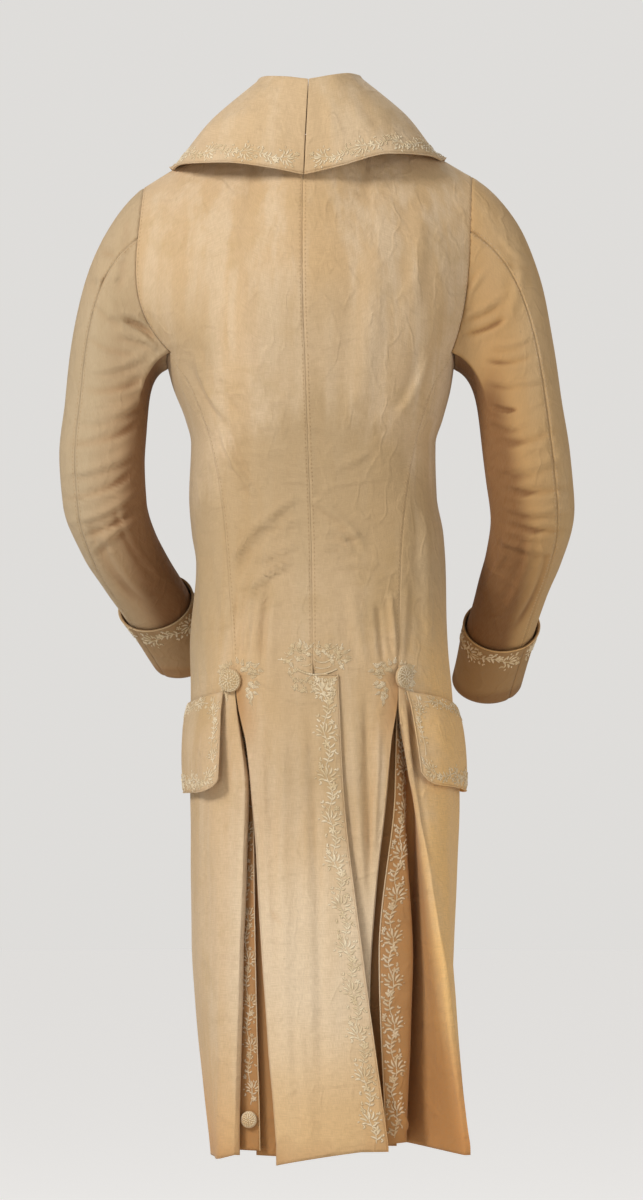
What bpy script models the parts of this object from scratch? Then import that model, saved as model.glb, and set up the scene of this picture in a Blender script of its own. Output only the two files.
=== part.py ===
"""Frock coat of about 1780 in plain cotton, standing open and empty as if worn.

Lengths are millimetres until a mesh is made. +X is the wearer's right, +Y the wearer's front, +Z up.
The origin is where the shoulders carry the coat: on the centre line, level with the neck points.
"""

import math

import bmesh
import bpy
import numpy as np

MM = 0.001

# Cloth and make
CLOTH = 1.6  # wall of body, skirts and sleeves
FIRM_CLOTH = 2.2  # collar, cuffs and flaps are two layers
SEAM_GAP = 0.5
ARMHOLE_GAP = 1.2
NAPE_GAP = 0.9
LIE_GAP = 0.5  # between a piece and the panel it lies on
SECTION_POWER = 2.3  # 2 is an ellipse, more is squarer

# Heights of the body
UNDERARM_Z = -235.0
HIP_Z = -572.0
SIDES = {"left": -1, "right": 1}


def table(columns, *rows):
    """A short table as one array for each named column."""
    return dict(zip(columns.split(), np.array(rows, float).T))


# The coat's level sections: where its outline stands at each side, at the back and at the front
BODY = table(
    "z left right back front",
    (-235, -155, 151, -118, 116),
    (-270, -146, 146, -115, 115),
    (-305, -133, 137, -110, 112),
    (-330, -127, 130, -105, 109),
    (-385, -129, 131, -97, 104),
    (-425, -126, 138, -96, 103),
    (-455, -122, 140, -98, 104),
    (-545, -128, 143, -106, 108),
    (-588, -127, 147, -109, 110),
    (-690, -128, 155, -115, 115),
    (-850, -127, 150, -119, 119),
    (-950, -120, 147, -122, 121),
    (-1075, -107, 146, -126, 123),
)

# Seams of the body: centre back, each side-back seam, and how far each front edge stands from the middle
SEAMS = table(
    "z centre_back left_back right_back front_edge",
    (-50, -9, -148, 146, 4),
    (-235, -7, -148, 146, 5),
    (-270, -6, -128, 128, 5),
    (-330, -4, -106, 109, 6),
    (-385, -2, -95, 99, 7),
    (-455, 0, -88, 93, 9),
    (-588, 1, -80, 90, 22),
    (-760, 3, -70, 90, 48),
    (-920, 5, -70, 90, 66),
    (-1075, 8, -70, 90, 80),
)

# Points of the shoulders
NAPE = np.array((-9.0, -64.0, -8.0))
NECK_POINT = {"left": np.array((-57.0, -6.0, 0.0)), "right": np.array((55.0, -6.0, 2.0))}
SHOULDER_POINT = {"left": np.array((-177.0, 6.0, -62.0)), "right": np.array((168.0, 6.0, -50.0))}
FRONT_NECK = np.array((4.0, 74.0, -82.0))
NECK_SHARE = 0.36  # share of the back's top edge that is neckline
FRONT_NECK_SHARE = 0.48
ARMHOLE_FRONT_ANGLE = math.radians(118)
ARMHOLE_DIP = 16.0

# Fold lines of the skirts: x and y at four heights, then the height of the hem there. A line that starts at
# the side-back seam or on the body takes its place at the hip from them.
FOLD_HEIGHTS = (-572.0, -690.0, -860.0, -1060.0)
FRONT_FOLDS = {
    "left": {
        "turn": (-104, -80, -104, -88, -104, -95, -99, -98, -1076),
        "roll": (-80, -88, -70, -106, -75, -112, -81, -118, -1071),
        "valley": (-92, -76, -87, -84, -90, -86, -93, -86, -1066),
        "ridge": (-83, -67, -72, -88, -77, -97, -82, -101, -1066),
        "edge": (-79, -72, -62, -92, -59, -105, -54, -112, -1067),
    },
    "right": {
        "turn": (130, -76, 138, -80, 146, -98, 161, -110, -1066),
        "roll": (90, -94, 109, -108, 136, -124, 165, -137, -1070),
        "valley": (103, -81, 107, -84, 104, -78, 100, -74, -1060),
        "ridge": (93, -71, 95, -96, 104, -108, 98, -113, -1058),
        "edge": (89, -79, 87, -104, 70, -118, 77, -124, -1060),
    },
}
BACK_FOLDS = {
    "left": {
        "lap": (27, -111, 32.5, -120, 52, -128, 79, -134, -1067),
        "roll": (-80, -89, -62, -110, -51.5, -122, -36, -134, -1081),
        "valley": (-66, -80, -40, -103, -30, -112, -12, -120, -1074),
        "ridge": (-74, -73, -52, -92, -58, -98, -56, -102, -1072),
    },
    "right": {
        "lap": (-22, -107, -18, -111, 8, -113, 26, -113, -1064),
        "roll": (90, -94, 78, -112, 61, -118, 56, -116, -1066),
        "valley": (78, -84, 58, -102, 38, -106, 34, -104, -1062),
        "ridge": (84, -76, 86, -97, 81, -107, 86, -109, -1062),
    },
}
FOLD_TUCK = 8.0  # how deep a fold turns before it runs on
ROUND_SHARES = (0.62, 0.81, 1.0)  # where the front's skirt follows the body's round again

# Sleeves: centre line and radius, from the upper arm to the wrist
SLEEVE_HEAD_WAY = {"left": (-0.80, 0.0, -0.60), "right": (0.86, 0.0, -0.51)}
ARMHOLE_BULGE = {"left": 22.0, "right": 8.0}
SLEEVE = {
    "left": table(
        "x y z radius",
        (-216, -8, -297, 44),
        (-220, -15, -345, 45),
        (-217, -8, -392, 43.5),
        (-202, 16, -436, 40),
        (-180, 50, -474, 37),
        (-161, 82, -504, 35.5),
        (-134, 130, -550, 34),
    ),
    "right": table(
        "x y z radius",
        (219, -8, -300, 45),
        (226, -15, -355, 45.5),
        (231, -8, -404, 44),
        (223, 18, -447, 40),
        (212, 50, -482, 37),
        (200, 92, -524, 35.5),
        (186, 146, -578, 34),
    ),
}
SLEEVE_EASE = 32.0  # length over which the sleeve's direction is averaged
HIND_SEAM = math.radians(52)
FORE_SEAM = math.radians(238)
CUFF_DEPTH = 82.0
CUFF_PROUD = 2.55
CUFF_FLARE = 1.6

# Collar: the fold it turns over and the edge that lies on the shoulders, from centre back to front end
COLLAR = {
    "left": table(
        "foldx foldy foldz edgex edgey edgez",
        (-4.3, -74, 50, -9.0, -92, -50),
        (-26, -69, 53, -44, -93, -43),
        (-46, -50, 54, -92, -82, -37),
        (-55, -22, 52, -136, -46, -38),
        (-57, 8, 38, -146, -4, -44),
        (-52, 36, 14, -132, 40, -56),
        (-38, 62, -14, -92, 84, -80),
        (-16, 82, -48, -34, 106, -108),
    ),
    "right": table(
        "foldx foldy foldz edgex edgey edgez",
        (-3.3, -74, 50, -8.0, -92, -50),
        (20, -69, 54, 30, -93, -41),
        (40, -50, 57, 82, -82, -28),
        (50, -22, 56, 124, -46, -29),
        (54, 8, 42, 137, -4, -35),
        (50, 36, 18, 126, 40, -50),
        (38, 62, -12, 92, 84, -78),
        (18, 82, -48, 38, 106, -108),
    ),
}
COLLAR_NECK_SHARE = 0.5
COLLAR_ROLL = 3.6
COLLAR_CLEAR = 3.2  # more than the gap, because its faces are flat between points

# Pocket flaps, on the front panels at the hips
FLAP_LENGTH = 168.0  # round the hip
FLAP_TOP_PROUD = 4.2
FLAP_PROUD = 6.2
FLAP_CORNER = 12.0
FLAP_CURL = {"left": 9.0, "right": 0.0}
FLAP_BACK_X = {"left": (-91.0, -91.0), "right": (97.0, 114.0)}  # at its top and at its foot
FLAP_TOP_Z = {"left": (-590.0, -618.0), "right": (-589.0, -618.0)}  # at its back and at its front end
FLAP_FOOT_Z = {"left": (-694.0, -697.0), "right": (-686.0, -697.0)}
FLAP_STEPS = 60  # lines on which the skirt under it is read

# Buttons
BUTTON_RADIUS = 11.5
BUTTON_HEIGHT = 6.0
SMALL_BUTTON_RADIUS = 9.0
HIP_BUTTON_X = {"left": -84.0, "right": 95.0}
HIP_BUTTON_Z = {"left": -578.0, "right": -574.0}
HIP_BUTTON_PROUD = {"left": 1.85, "right": 1.45}
BUTTON_PROFILE = ((0.86, 0.0), (1.0, 0.3), (0.93, 0.66), (0.7, 0.9), (0.34, 1.0))
FRONT_BUTTONS = 6
FRONT_BUTTON_PROUD = 0.4
FRONT_BUTTON_TOP_Z = -128.0
FRONT_BUTTON_PITCH = 58.0
FRONT_BUTTON_SHARES = (0.8, 0.9)  # of the way from the armhole to the front edge, the second under the button
FRONT_BUTTON_INSET = 6.0  # cloth between the button and the front edge below the underarm
CHEST_SLOPE_Z = -280.0  # above it the front leans, so that a button is set deeper
CHEST_SLOPE_INSET = 0.5
PLEAT_BUTTON_DOWN = 0.935  # of the way from hip to hem
PLEAT_BUTTON_SHARE = 0.62  # of the way from the pleat's ridge to its edge
PLEAT_BUTTON_PROUD = 1.4
YOKE_STEPS = 80

# Rows and columns of the meshes
YOKE_ROWS = 9
TORSO_ROWS = 9
SKIRT_ROWS = 10
BACK_COLUMNS = 9
FRONT_COLUMNS = 9
UNDER_COLUMNS = 9
PLEAT_PARTS = 2
CUFF_COLUMNS = 21
HEAD_ROWS = 6
ARM_ROWS = 10
CUFF_ROWS = 4
BUTTON_SIDES = 12
COLLAR_COLUMNS = 13
COLLAR_PARTS = 2

CLOTH_COLOUR = (0.60, 0.42, 0.23, 1.0)
EDGE_COLOUR = (0.56, 0.38, 0.20, 1.0)
BUTTON_COLOUR = (0.50, 0.38, 0.18, 1.0)


def smooth(knots, values, at):
    """Cubic curve through the values that never overshoots them. Knots may run up or down."""
    knots, values, at = (np.asarray(a, float) for a in (knots, values, at))
    if knots[0] > knots[-1]:
        knots, values = knots[::-1], values[::-1]
    step = np.diff(knots)
    rise = np.diff(values) / step
    slope = np.concatenate((rise[:1], np.zeros(len(rise) - 1), rise[-1:]))
    same = rise[:-1] * rise[1:] > 0
    slope[1:-1][same] = 2 * rise[:-1][same] * rise[1:][same] / (rise[:-1] + rise[1:])[same]
    at = np.clip(at, knots[0], knots[-1])
    k = np.clip(np.searchsorted(knots, at, side="right") - 1, 0, len(step) - 1)
    u = (at - knots[k]) / step[k]
    return (
        values[k] * (1 + 2 * u) * (1 - u) ** 2
        + values[k + 1] * u * u * (3 - 2 * u)
        + step[k] * (slope[k] * u * (1 - u) ** 2 + slope[k + 1] * u * u * (u - 1))
    )


def read(tab, name, z):
    """A table's column at height z."""
    return smooth(tab["z"], tab[name], z)


def ease(u):
    """Rises smoothly from 0 to 1."""
    u = np.clip(u, 0, 1)
    return u * u * (3 - 2 * u)


def bridge(start, start_way, end, end_way, t):
    """Curves from start to end that leave and arrive along the two ways. t runs down the rows."""
    t = np.asarray(t, float)[:, None, None]
    return (
        start * (1 + 2 * t) * (1 - t) ** 2
        + end * t * t * (3 - 2 * t)
        + start_way * t * (1 - t) ** 2
        + end_way * t * t * (t - 1)
    )


def section(z, angle):
    """A point of the body's level section. The angle is 0 at the back and grows towards the right."""
    left, right = read(BODY, "left", z), read(BODY, "right", z)
    power = 2 / SECTION_POWER
    sine, cosine = np.sin(angle), np.cos(angle)
    x = (left + right) / 2 + (right - left) / 2 * np.sign(sine) * np.abs(sine) ** power
    depth = np.where(cosine > 0, read(BODY, "back", z), read(BODY, "front", z))
    return np.stack(np.broadcast_arrays(x, depth * np.abs(cosine) ** power, z), axis=-1)


def angle_at(z, x):
    """The angle at which the back half of the section stands at x."""
    left, right = read(BODY, "left", z), read(BODY, "right", z)
    share = (x - (left + right) / 2) / ((right - left) / 2)
    return np.sign(share) * np.arcsin(np.clip(np.abs(share), 0, 0.985) ** (SECTION_POWER / 2))


def front_edge_angle(side, z):
    """The angle of a front edge, just short of the middle front."""
    left, right = read(BODY, "left", z), read(BODY, "right", z)
    x = SIDES[side] * read(SEAMS, "front_edge", z)
    share = np.abs(x - (left + right) / 2) / ((right - left) / 2)
    lean = np.arcsin(np.clip(share, 0, 1) ** (SECTION_POWER / 2))
    over = np.sign(x - (left + right) / 2) != SIDES[side]
    return SIDES[side] * (math.pi - np.where(over, -lean, lean))


def fold_line(row, z):
    """x and y of a fold line at height z."""
    values = np.array(row[:8], float).reshape(4, 2)
    return np.stack([smooth(FOLD_HEIGHTS, values[:, i], z) for i in (0, 1)], axis=-1)


def seam_angle(side, z, inset):
    """The side-back seam's angle, moved by half the seam's gap towards the back or the front."""
    turn = SIDES[side] * SEAM_GAP / 2 / 95
    return angle_at(z, read(SEAMS, side + "_back", z)) + inset * turn


def back_top(side, share):
    """The back's top edge: neckline from the nape to the neck point, then the shoulder seam."""
    u = np.clip(share / NECK_SHARE, 0, 1)[:, None] * math.pi / 2
    neck_point, shoulder = NECK_POINT[side], SHOULDER_POINT[side]
    neck = NAPE + (neck_point - NAPE) * np.concatenate((np.sin(u), 1 - np.cos(u), 1 - np.cos(u)), axis=-1)
    v = np.clip((share - NECK_SHARE) / (1 - NECK_SHARE), 0, 1)[:, None]
    seam = neck_point + (shoulder - neck_point) * v
    seam[:, 2] += 5 * np.sin(math.pi * v[:, 0])
    edge = np.where((share < NECK_SHARE)[:, None], neck, seam)
    edge[:, 0] += SIDES[side] * NAPE_GAP * np.clip(1 - share / NECK_SHARE, 0, 1)
    edge[:, 1] -= 1.3 * SEAM_GAP * u[:, 0]
    return edge


def back_yoke(side, share, down):
    """The back above the underarm. share runs from the centre back to the armhole, down from top to underarm."""
    z = np.full_like(share, UNDERARM_Z)
    centre = angle_at(z, read(SEAMS, "centre_back", z) + SIDES[side] * SEAM_GAP / 2)
    angle = centre + (seam_angle(side, z, -1) - centre) * share
    foot = section(z, angle)
    rise = (foot - section(z - 20, angle)) / 20
    top = back_top(side, share)
    v = np.clip((share - NECK_SHARE) / (1 - NECK_SHARE), 0, 1)
    u = np.clip(share / NECK_SHARE, 0, 1)
    lean = 0.45 + 0.53 * u**2 + 0.02 * v
    way = np.stack((0 * lean, lean, np.sqrt(1.001 - lean**2)), axis=-1)
    length = np.linalg.norm(top - foot, axis=-1)[:, None]
    point = bridge(top, -way * length * (0.6 + 0.3 * share[:, None]), foot, -rise * length, down)
    point[..., 0] += armhole_bulge(side, share, down)
    return point


def armhole_bulge(side, near, down):
    """The cloth stands out beside the armhole. near is 1 at its edge."""
    return SIDES[side] * ARMHOLE_BULGE[side] * near**2 * np.sin(math.pi * np.asarray(down)[:, None] ** 2)


def front_top(side, share):
    """The front's top edge: the shoulder seam from the armhole to the neck point, then the neckline."""
    u = np.clip((share - (1 - FRONT_NECK_SHARE)) / FRONT_NECK_SHARE, 0, 1)[:, None] * math.pi / 2
    neck_point, shoulder = NECK_POINT[side], SHOULDER_POINT[side]
    pit = FRONT_NECK * (SIDES[side], 1, 1)
    drop = (1 - np.cos(u) + u / (math.pi / 2)) / 2
    neck = neck_point + (pit - neck_point) * np.concatenate((1 - np.cos(u), np.sin(u), drop), axis=-1)
    v = np.clip(share / (1 - FRONT_NECK_SHARE), 0, 1)[:, None]
    seam = shoulder + (neck_point - shoulder) * v
    seam[:, 2] += 5 * np.sin(math.pi * v[:, 0])
    edge = np.where((u[:, :1] > 0), neck, seam)
    edge[:, 1] += 1.3 * SEAM_GAP * (1 - u[:, 0] / (math.pi / 2))
    return edge


def front_yoke(side, share, down):
    """The front above the underarm. share runs from the armhole to the front edge."""
    z = np.full_like(share, UNDERARM_Z)
    start = SIDES[side] * ARMHOLE_FRONT_ANGLE
    angle = start + (front_edge_angle(side, z) - start) * share
    foot = section(z, angle)
    rise = (foot - section(z - 20, angle)) / 20
    top = front_top(side, share)
    u = np.clip((share - (1 - FRONT_NECK_SHARE)) / FRONT_NECK_SHARE, 0, 1)
    lean = 1 - 0.75 * ease(u)
    way = np.stack((0 * lean, -lean, np.sqrt(1.001 - lean**2)), axis=-1)
    length = np.linalg.norm(top - foot, axis=-1)[:, None]
    point = bridge(top, -way * length * 0.6, foot, -rise * length, down)
    point[..., 0] += armhole_bulge(side, 1 - share, down)
    return point


def under_arm(side, z, share):
    """Below the armhole, from the side-back seam to the armhole's front. The top rows dip under the arm."""
    dip = ARMHOLE_DIP * ease((z + 330) / (330 + UNDERARM_Z)) * np.sin(math.pi * share) ** 2
    start = seam_angle(side, z, 1)
    return section(z - dip, start + (SIDES[side] * ARMHOLE_FRONT_ANGLE - start) * share)


def back_torso(side, z, share):
    """The back between underarm and hip, from the centre back to the side-back seam."""
    centre = angle_at(z, read(SEAMS, "centre_back", z) + SIDES[side] * SEAM_GAP / 2)
    point = section(z, centre + (seam_angle(side, z, -1) - centre) * share)
    point[..., 1] += lap_shift(side, z, share)
    return point


def lap_shift(side, z, share):
    """Above the vent the two backs part in depth, so that the left can lap over the right."""
    near = ease((HIP_Z + 60 - z) / 26) * (1 - ease(share * 2.2))
    return near * (-1.3 if side == "left" else 1.5)


def front_torso(side, z, share):
    """The front between underarm and hip, from the armhole's front to the front edge."""
    start = SIDES[side] * ARMHOLE_FRONT_ANGLE
    return section(z, start + (front_edge_angle(side, z) - start) * share)


def fold_point(folds, name, down):
    """A fold line's points for each share of the way from the hip to the hem."""
    hem_z = folds[name][8]
    z = HIP_Z + (hem_z - HIP_Z) * down
    values = np.array(folds[name][:8], float).reshape(4, 2)
    return np.stack([smooth(FOLD_HEIGHTS, values[:, i], z) for i in (0, 1)] + [z], axis=-1)


def spline(points, parts):
    """Rows of points joined by a smooth curve, each stretch cut into parts."""
    before = np.concatenate((2 * points[:, :1] - points[:, 1:2], points[:, :-1]), axis=1)
    after = np.concatenate((points[:, 1:], 2 * points[:, -1:] - points[:, -2:-1]), axis=1)
    way = (after - before) * 0.40
    size = np.linalg.norm(way, axis=-1, keepdims=True)
    out = [points[:, :1]]
    for i in range(points.shape[1] - 1):
        u = np.linspace(0, 1, parts + 1)[1:, None]
        a, b = points[:, i : i + 1], points[:, i + 1 : i + 2]
        chord = np.linalg.norm(b - a, axis=-1, keepdims=True)
        leave = way[:, i : i + 1] * np.minimum(1, 1.3 * chord / size[:, i : i + 1])
        reach = way[:, i + 1 : i + 2] * np.minimum(1, 1.3 * chord / size[:, i + 1 : i + 2])
        out.append(
            a * (1 + 2 * u) * (1 - u) ** 2
            + b * u * u * (3 - 2 * u)
            + leave * u * (1 - u) ** 2
            + reach * u * u * (u - 1)
        )
    return np.concatenate(out, axis=1)


def along(points, share):
    """Rows of points read at shares of their length."""
    length = np.linalg.norm(np.diff(points, axis=1), axis=-1)
    out = np.empty((len(points), len(share), 3))
    for row, (line, step) in enumerate(zip(points, length)):
        reach = np.concatenate(((0.0,), np.cumsum(step))) / step.sum()
        for i in range(3):
            out[row, :, i] = np.interp(share, reach, line[:, i])
    return out


def roll_at(side, folds, down):
    """The roll beside the side pleats. It leaves the side-back seam just below the hip."""
    roll = fold_point(folds, "roll", down)
    z = roll[:, 2]
    inset = 1 if folds is FRONT_FOLDS[side] else -1
    seam = section(z, seam_angle(side, z, inset))
    change = ease(down * 7)[:, None]
    return seam + (roll - seam) * change


def front_skirt(side, down, share):
    """The front's skirt from its roll at the side pleats (share 0) to the armhole's front line (share 1)."""
    folds = FRONT_FOLDS[side]
    roll, turn = roll_at(side, folds, down), fold_point(folds, "turn", down)
    z = HIP_Z + (folds["turn"][8] - HIP_Z) * down
    start = SIDES[side] * ARMHOLE_FRONT_ANGLE
    rounds = [section(z, start * part) for part in ROUND_SHARES]
    path = along(spline(np.stack([roll, turn] + rounds, axis=1), 8), share)
    plain_start = seam_angle(side, z, 1)[:, None]
    plain = section(z[:, None] + 0 * share, plain_start + (start - plain_start) * share)
    change = ease(down * 4)[:, None, None]
    return plain + (path - plain) * change


def front_flap(side, down, share):
    """The front's skirt from the armhole's front line to its edge, which is cut away towards the hem."""
    z = (HIP_Z + (FRONT_FOLDS[side]["turn"][8] - HIP_Z) * down)[:, None] + 0 * share
    start = SIDES[side] * ARMHOLE_FRONT_ANGLE
    return section(z, start + (front_edge_angle(side, z) - start) * share)


def back_skirt(side, down, share):
    """The back's skirt. share -1 to 0 is its lap at the vent, 0 to 1 from the middle to its roll."""
    folds = BACK_FOLDS[side]
    lap, roll = fold_point(folds, "lap", down), roll_at(side, folds, down)
    hem_z = folds["lap"][8] + (folds["roll"][8] - folds["lap"][8]) * np.clip(share, 0, 1)
    z = HIP_Z + (hem_z - HIP_Z) * down[:, None]
    hip = np.full_like(share, HIP_Z)
    hip_seam = float(read(SEAMS, "centre_back", HIP_Z)) + SIDES[side] * SEAM_GAP / 2
    lap_share = (hip_seam - lap[0, 0]) / (roll[0, 0] - lap[0, 0])
    middle = lap[:, :1] + (roll[:, :1] - lap[:, :1]) * lap_share
    hip_middle = angle_at(hip, hip_seam)
    hip_x = section(hip, hip_middle + (seam_angle(side, hip, -1) - hip_middle) * np.clip(share, 0, 1))[:, 0]
    part = (hip_x - hip_x[share >= 0][0]) / (hip_x[-1] - hip_x[share >= 0][0])
    x = middle + (roll[:, :1] - middle) * part
    x = np.where(share < 0, middle + (lap[:, :1] - middle) * -share, x)
    base = section(z, angle_at(z, x))
    lap_out = (lap - section(lap[:, 2], angle_at(lap[:, 2], lap[:, 0])))[:, 1:2]
    roll_out = (roll - section(roll[:, 2], angle_at(roll[:, 2], roll[:, 0])))[:, 1:2]
    far = (x - lap[:, :1]) / (roll[:, :1] - lap[:, :1])
    change = ease(down * 5)[:, None]
    y = base[..., 1] + (lap_out + (roll_out - lap_out) * far) * np.maximum(change, far**6)
    y += lap_shift(side, hip, share) * (1 - change)
    return np.stack((x, y, z), axis=-1)


def pleats(side, folds, down, roll):
    """Cloth folded under from a roll: inwards to a valley and back out to a ridge and, on a front, its edge."""
    outwards = SIDES[side]
    valley = fold_point(folds, "valley", down)
    change = ease(down * 4)[:, None]
    inwards = np.zeros_like(roll) + (0.0, 1.0, 0.0)
    under = inwards.copy()
    if "edge" in folds:
        way = (roll - fold_point(folds, "turn", down)) * (1, 1, 0)
        way /= np.linalg.norm(way, axis=-1, keepdims=True)
        inwards = np.stack((way[:, 1] * outwards, -way[:, 0] * outwards, 0 * way[:, 0]), axis=-1)
        if outwards > 0:
            under += change * (-1.0, -1.0, 0.0)
        at_hip = np.array((outwards * 0.10, 0.99, 0.0))
    else:
        at_hip = np.array((-outwards * 0.42, 0.91, 0.0))
    tuck = roll + FOLD_TUCK * (at_hip + (inwards - at_hip) * change)
    points = [roll, tuck, valley, valley + FOLD_TUCK * under]
    points += [fold_point(folds, name, down) for name in ("ridge", "edge") if name in folds]
    if "edge" not in folds:
        points.append(points[-1] + (outwards * 2, FOLD_TUCK, 0))
    return spline(np.stack(points, axis=1), PLEAT_PARTS)


def normals_of(grid):
    """Unit normals of a grid of points."""
    along_rows, along_columns = np.gradient(grid, axis=0), np.gradient(grid, axis=1)
    normal = np.cross(along_rows, along_columns)
    return normal / np.linalg.norm(normal, axis=-1, keepdims=True)


def lift(points, ground, clear):
    """Points moved out until they stand clear of the ground's nearest points. The ground is (points, normals)."""
    spots, ways = (a.reshape(-1, 3) for a in ground)
    flat = points.reshape(-1, 3).copy()
    for _ in range(3):
        for i, point in enumerate(flat):
            gap = point - spots
            near = np.argmin((gap**2).sum(axis=1))
            height = gap[near] @ ways[near]
            if height < clear and (gap[near] ** 2).sum() < 900:
                flat[i] = point + ways[near] * (clear - height)
    return flat.reshape(points.shape)


def armhole(side):
    """The armhole's edge, point for point as in the body's own rows, and each point's angle on the sleeve."""
    down = np.linspace(0, 1, YOKE_ROWS)
    back = back_yoke(side, np.array((0.0, 1.0)), down)[:, -1]
    front = front_yoke(side, np.array((0.0, 1.0)), down)[::-1, 0]
    share = np.linspace(0, 1, UNDER_COLUMNS)
    below = under_arm(side, np.full_like(share, UNDERARM_Z), share)
    ring = np.concatenate((back, below[1:-1], front))
    reach = np.concatenate(((0.0,), np.cumsum(np.linalg.norm(np.diff(ring, axis=0), axis=1))))
    bottom = reach[YOKE_ROWS - 1 + UNDER_COLUMNS // 2]
    angle = np.interp(reach, (0, bottom, reach[-1]), (0, math.pi, 2 * math.pi))
    return ring, angle


def sleeve_frame(side, t):
    """Centre, radius and the two ways across the sleeve at t, 0 on the upper arm and 1 at the wrist."""
    rows = SLEEVE[side]
    line = np.stack((rows["x"], rows["y"], rows["z"]), axis=-1)
    reach = np.concatenate(((0.0,), np.cumsum(np.linalg.norm(np.diff(line, axis=0), axis=1))))
    at = np.asarray(t, float) * reach[-1]

    def centre_at(s):
        return np.stack([smooth(reach, line[:, i], s) for i in range(3)], axis=-1)

    centre = centre_at(at)
    way = centre_at(np.clip(at + SLEEVE_EASE, 0, reach[-1])) - centre_at(np.clip(at - SLEEVE_EASE, 0, reach[-1]))
    way /= np.linalg.norm(way, axis=-1, keepdims=True)
    out = np.array((SIDES[side], 0.0, 0.0)) - way * way[:, :1] * SIDES[side]
    out /= np.linalg.norm(out, axis=-1, keepdims=True)
    back = np.cross(way, out) * SIDES[side]
    return centre, smooth(reach, rows["radius"], at), out, back, reach[-1], way


def sleeve_rings(side, t, angle, proud=0.0):
    """Rings of the sleeve. The angle is 0 on its outer side and a quarter turn at the back."""
    centre, radius, out, back, _, way = sleeve_frame(side, t)
    radius = (radius + proud)[:, None, None]
    lean = 0.16 * np.cos(angle)[None, :, None] * way[:, None]
    ring = out[:, None] * np.cos(angle)[None, :, None] + back[:, None] * np.sin(angle)[None, :, None]
    return centre[:, None] + radius * (ring - lean)


def sleeve_head(side, edge, angle, down):
    """The sleeve from its edge in the armhole to the upper arm."""
    foot = sleeve_rings(side, np.zeros(1), angle)[0]
    way = sleeve_frame(side, np.zeros(1))[5][0]
    under = (1 - np.cos(angle)[:, None]) / 2
    leave = np.array(SLEEVE_HEAD_WAY[side]) * (1 - under) + np.array((SIDES[side] * 0.95, 0.0, -0.30)) * under
    length = np.linalg.norm(foot - edge, axis=-1)[:, None]
    return bridge(edge + leave * ARMHOLE_GAP, leave * length, foot, way * length, down)


def collar_lines(side, share):
    """The collar's foot, fold and outer edge from the centre back (share 0) to its front end (share 1)."""
    knots = np.linspace(0, 1, 8)
    foot_share = NECK_SHARE * np.clip(share / COLLAR_NECK_SHARE, 0, 1)
    foot = back_top(side, foot_share)
    part = np.clip((share - COLLAR_NECK_SHARE) / (1 - COLLAR_NECK_SHARE), 0, 1) * 0.92
    front = front_top(side, 1 - FRONT_NECK_SHARE + FRONT_NECK_SHARE * part)
    foot = np.where((share > COLLAR_NECK_SHARE)[:, None], front, foot)
    lines = [foot + (0, 0, SEAM_GAP + 0.6)]
    for name in ("fold", "edge"):
        rows = COLLAR[side]
        lines.append(np.stack([smooth(knots, rows[name + axis], share) for axis in "xyz"], axis=-1))
    return lines


def collar_half(side, share, parts):
    """Half the collar: it stands on the neckline, rolls over and falls onto the shoulders."""
    foot, fold, edge = collar_lines(side, share)
    out = (edge - foot) * (1, 1, 0)
    out /= np.linalg.norm(out, axis=-1, keepdims=True)
    drop = np.array((0, 0, COLLAR_ROLL * 1.1))
    middle = (fold + edge) / 2 + out * 7 + (0, 0, 4)
    stand = (foot + fold) / 2 - out * 2
    points = (foot, stand, fold - out * COLLAR_ROLL - drop, fold, fold + out * COLLAR_ROLL - drop, middle, edge)
    return spline(np.stack(points, axis=1), parts)


def yoke_ground(side, rows=50, columns=50):
    """Points and outward normals of the shoulders, for the collar to lie on."""
    down, share = np.linspace(0, 1, rows), np.linspace(0, 1, columns)
    spots, ways = [], []
    for yoke in (back_yoke, front_yoke):
        grid = yoke(side, share, down)
        normal = normals_of(grid)
        middle = np.array((0.0, 0.0, -200.0))
        normal *= np.sign(((grid - middle) * normal).sum(axis=-1, keepdims=True))
        spots.append(grid.reshape(-1, 3))
        ways.append(normal.reshape(-1, 3))
    return np.concatenate(spots), np.concatenate(ways)


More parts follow.
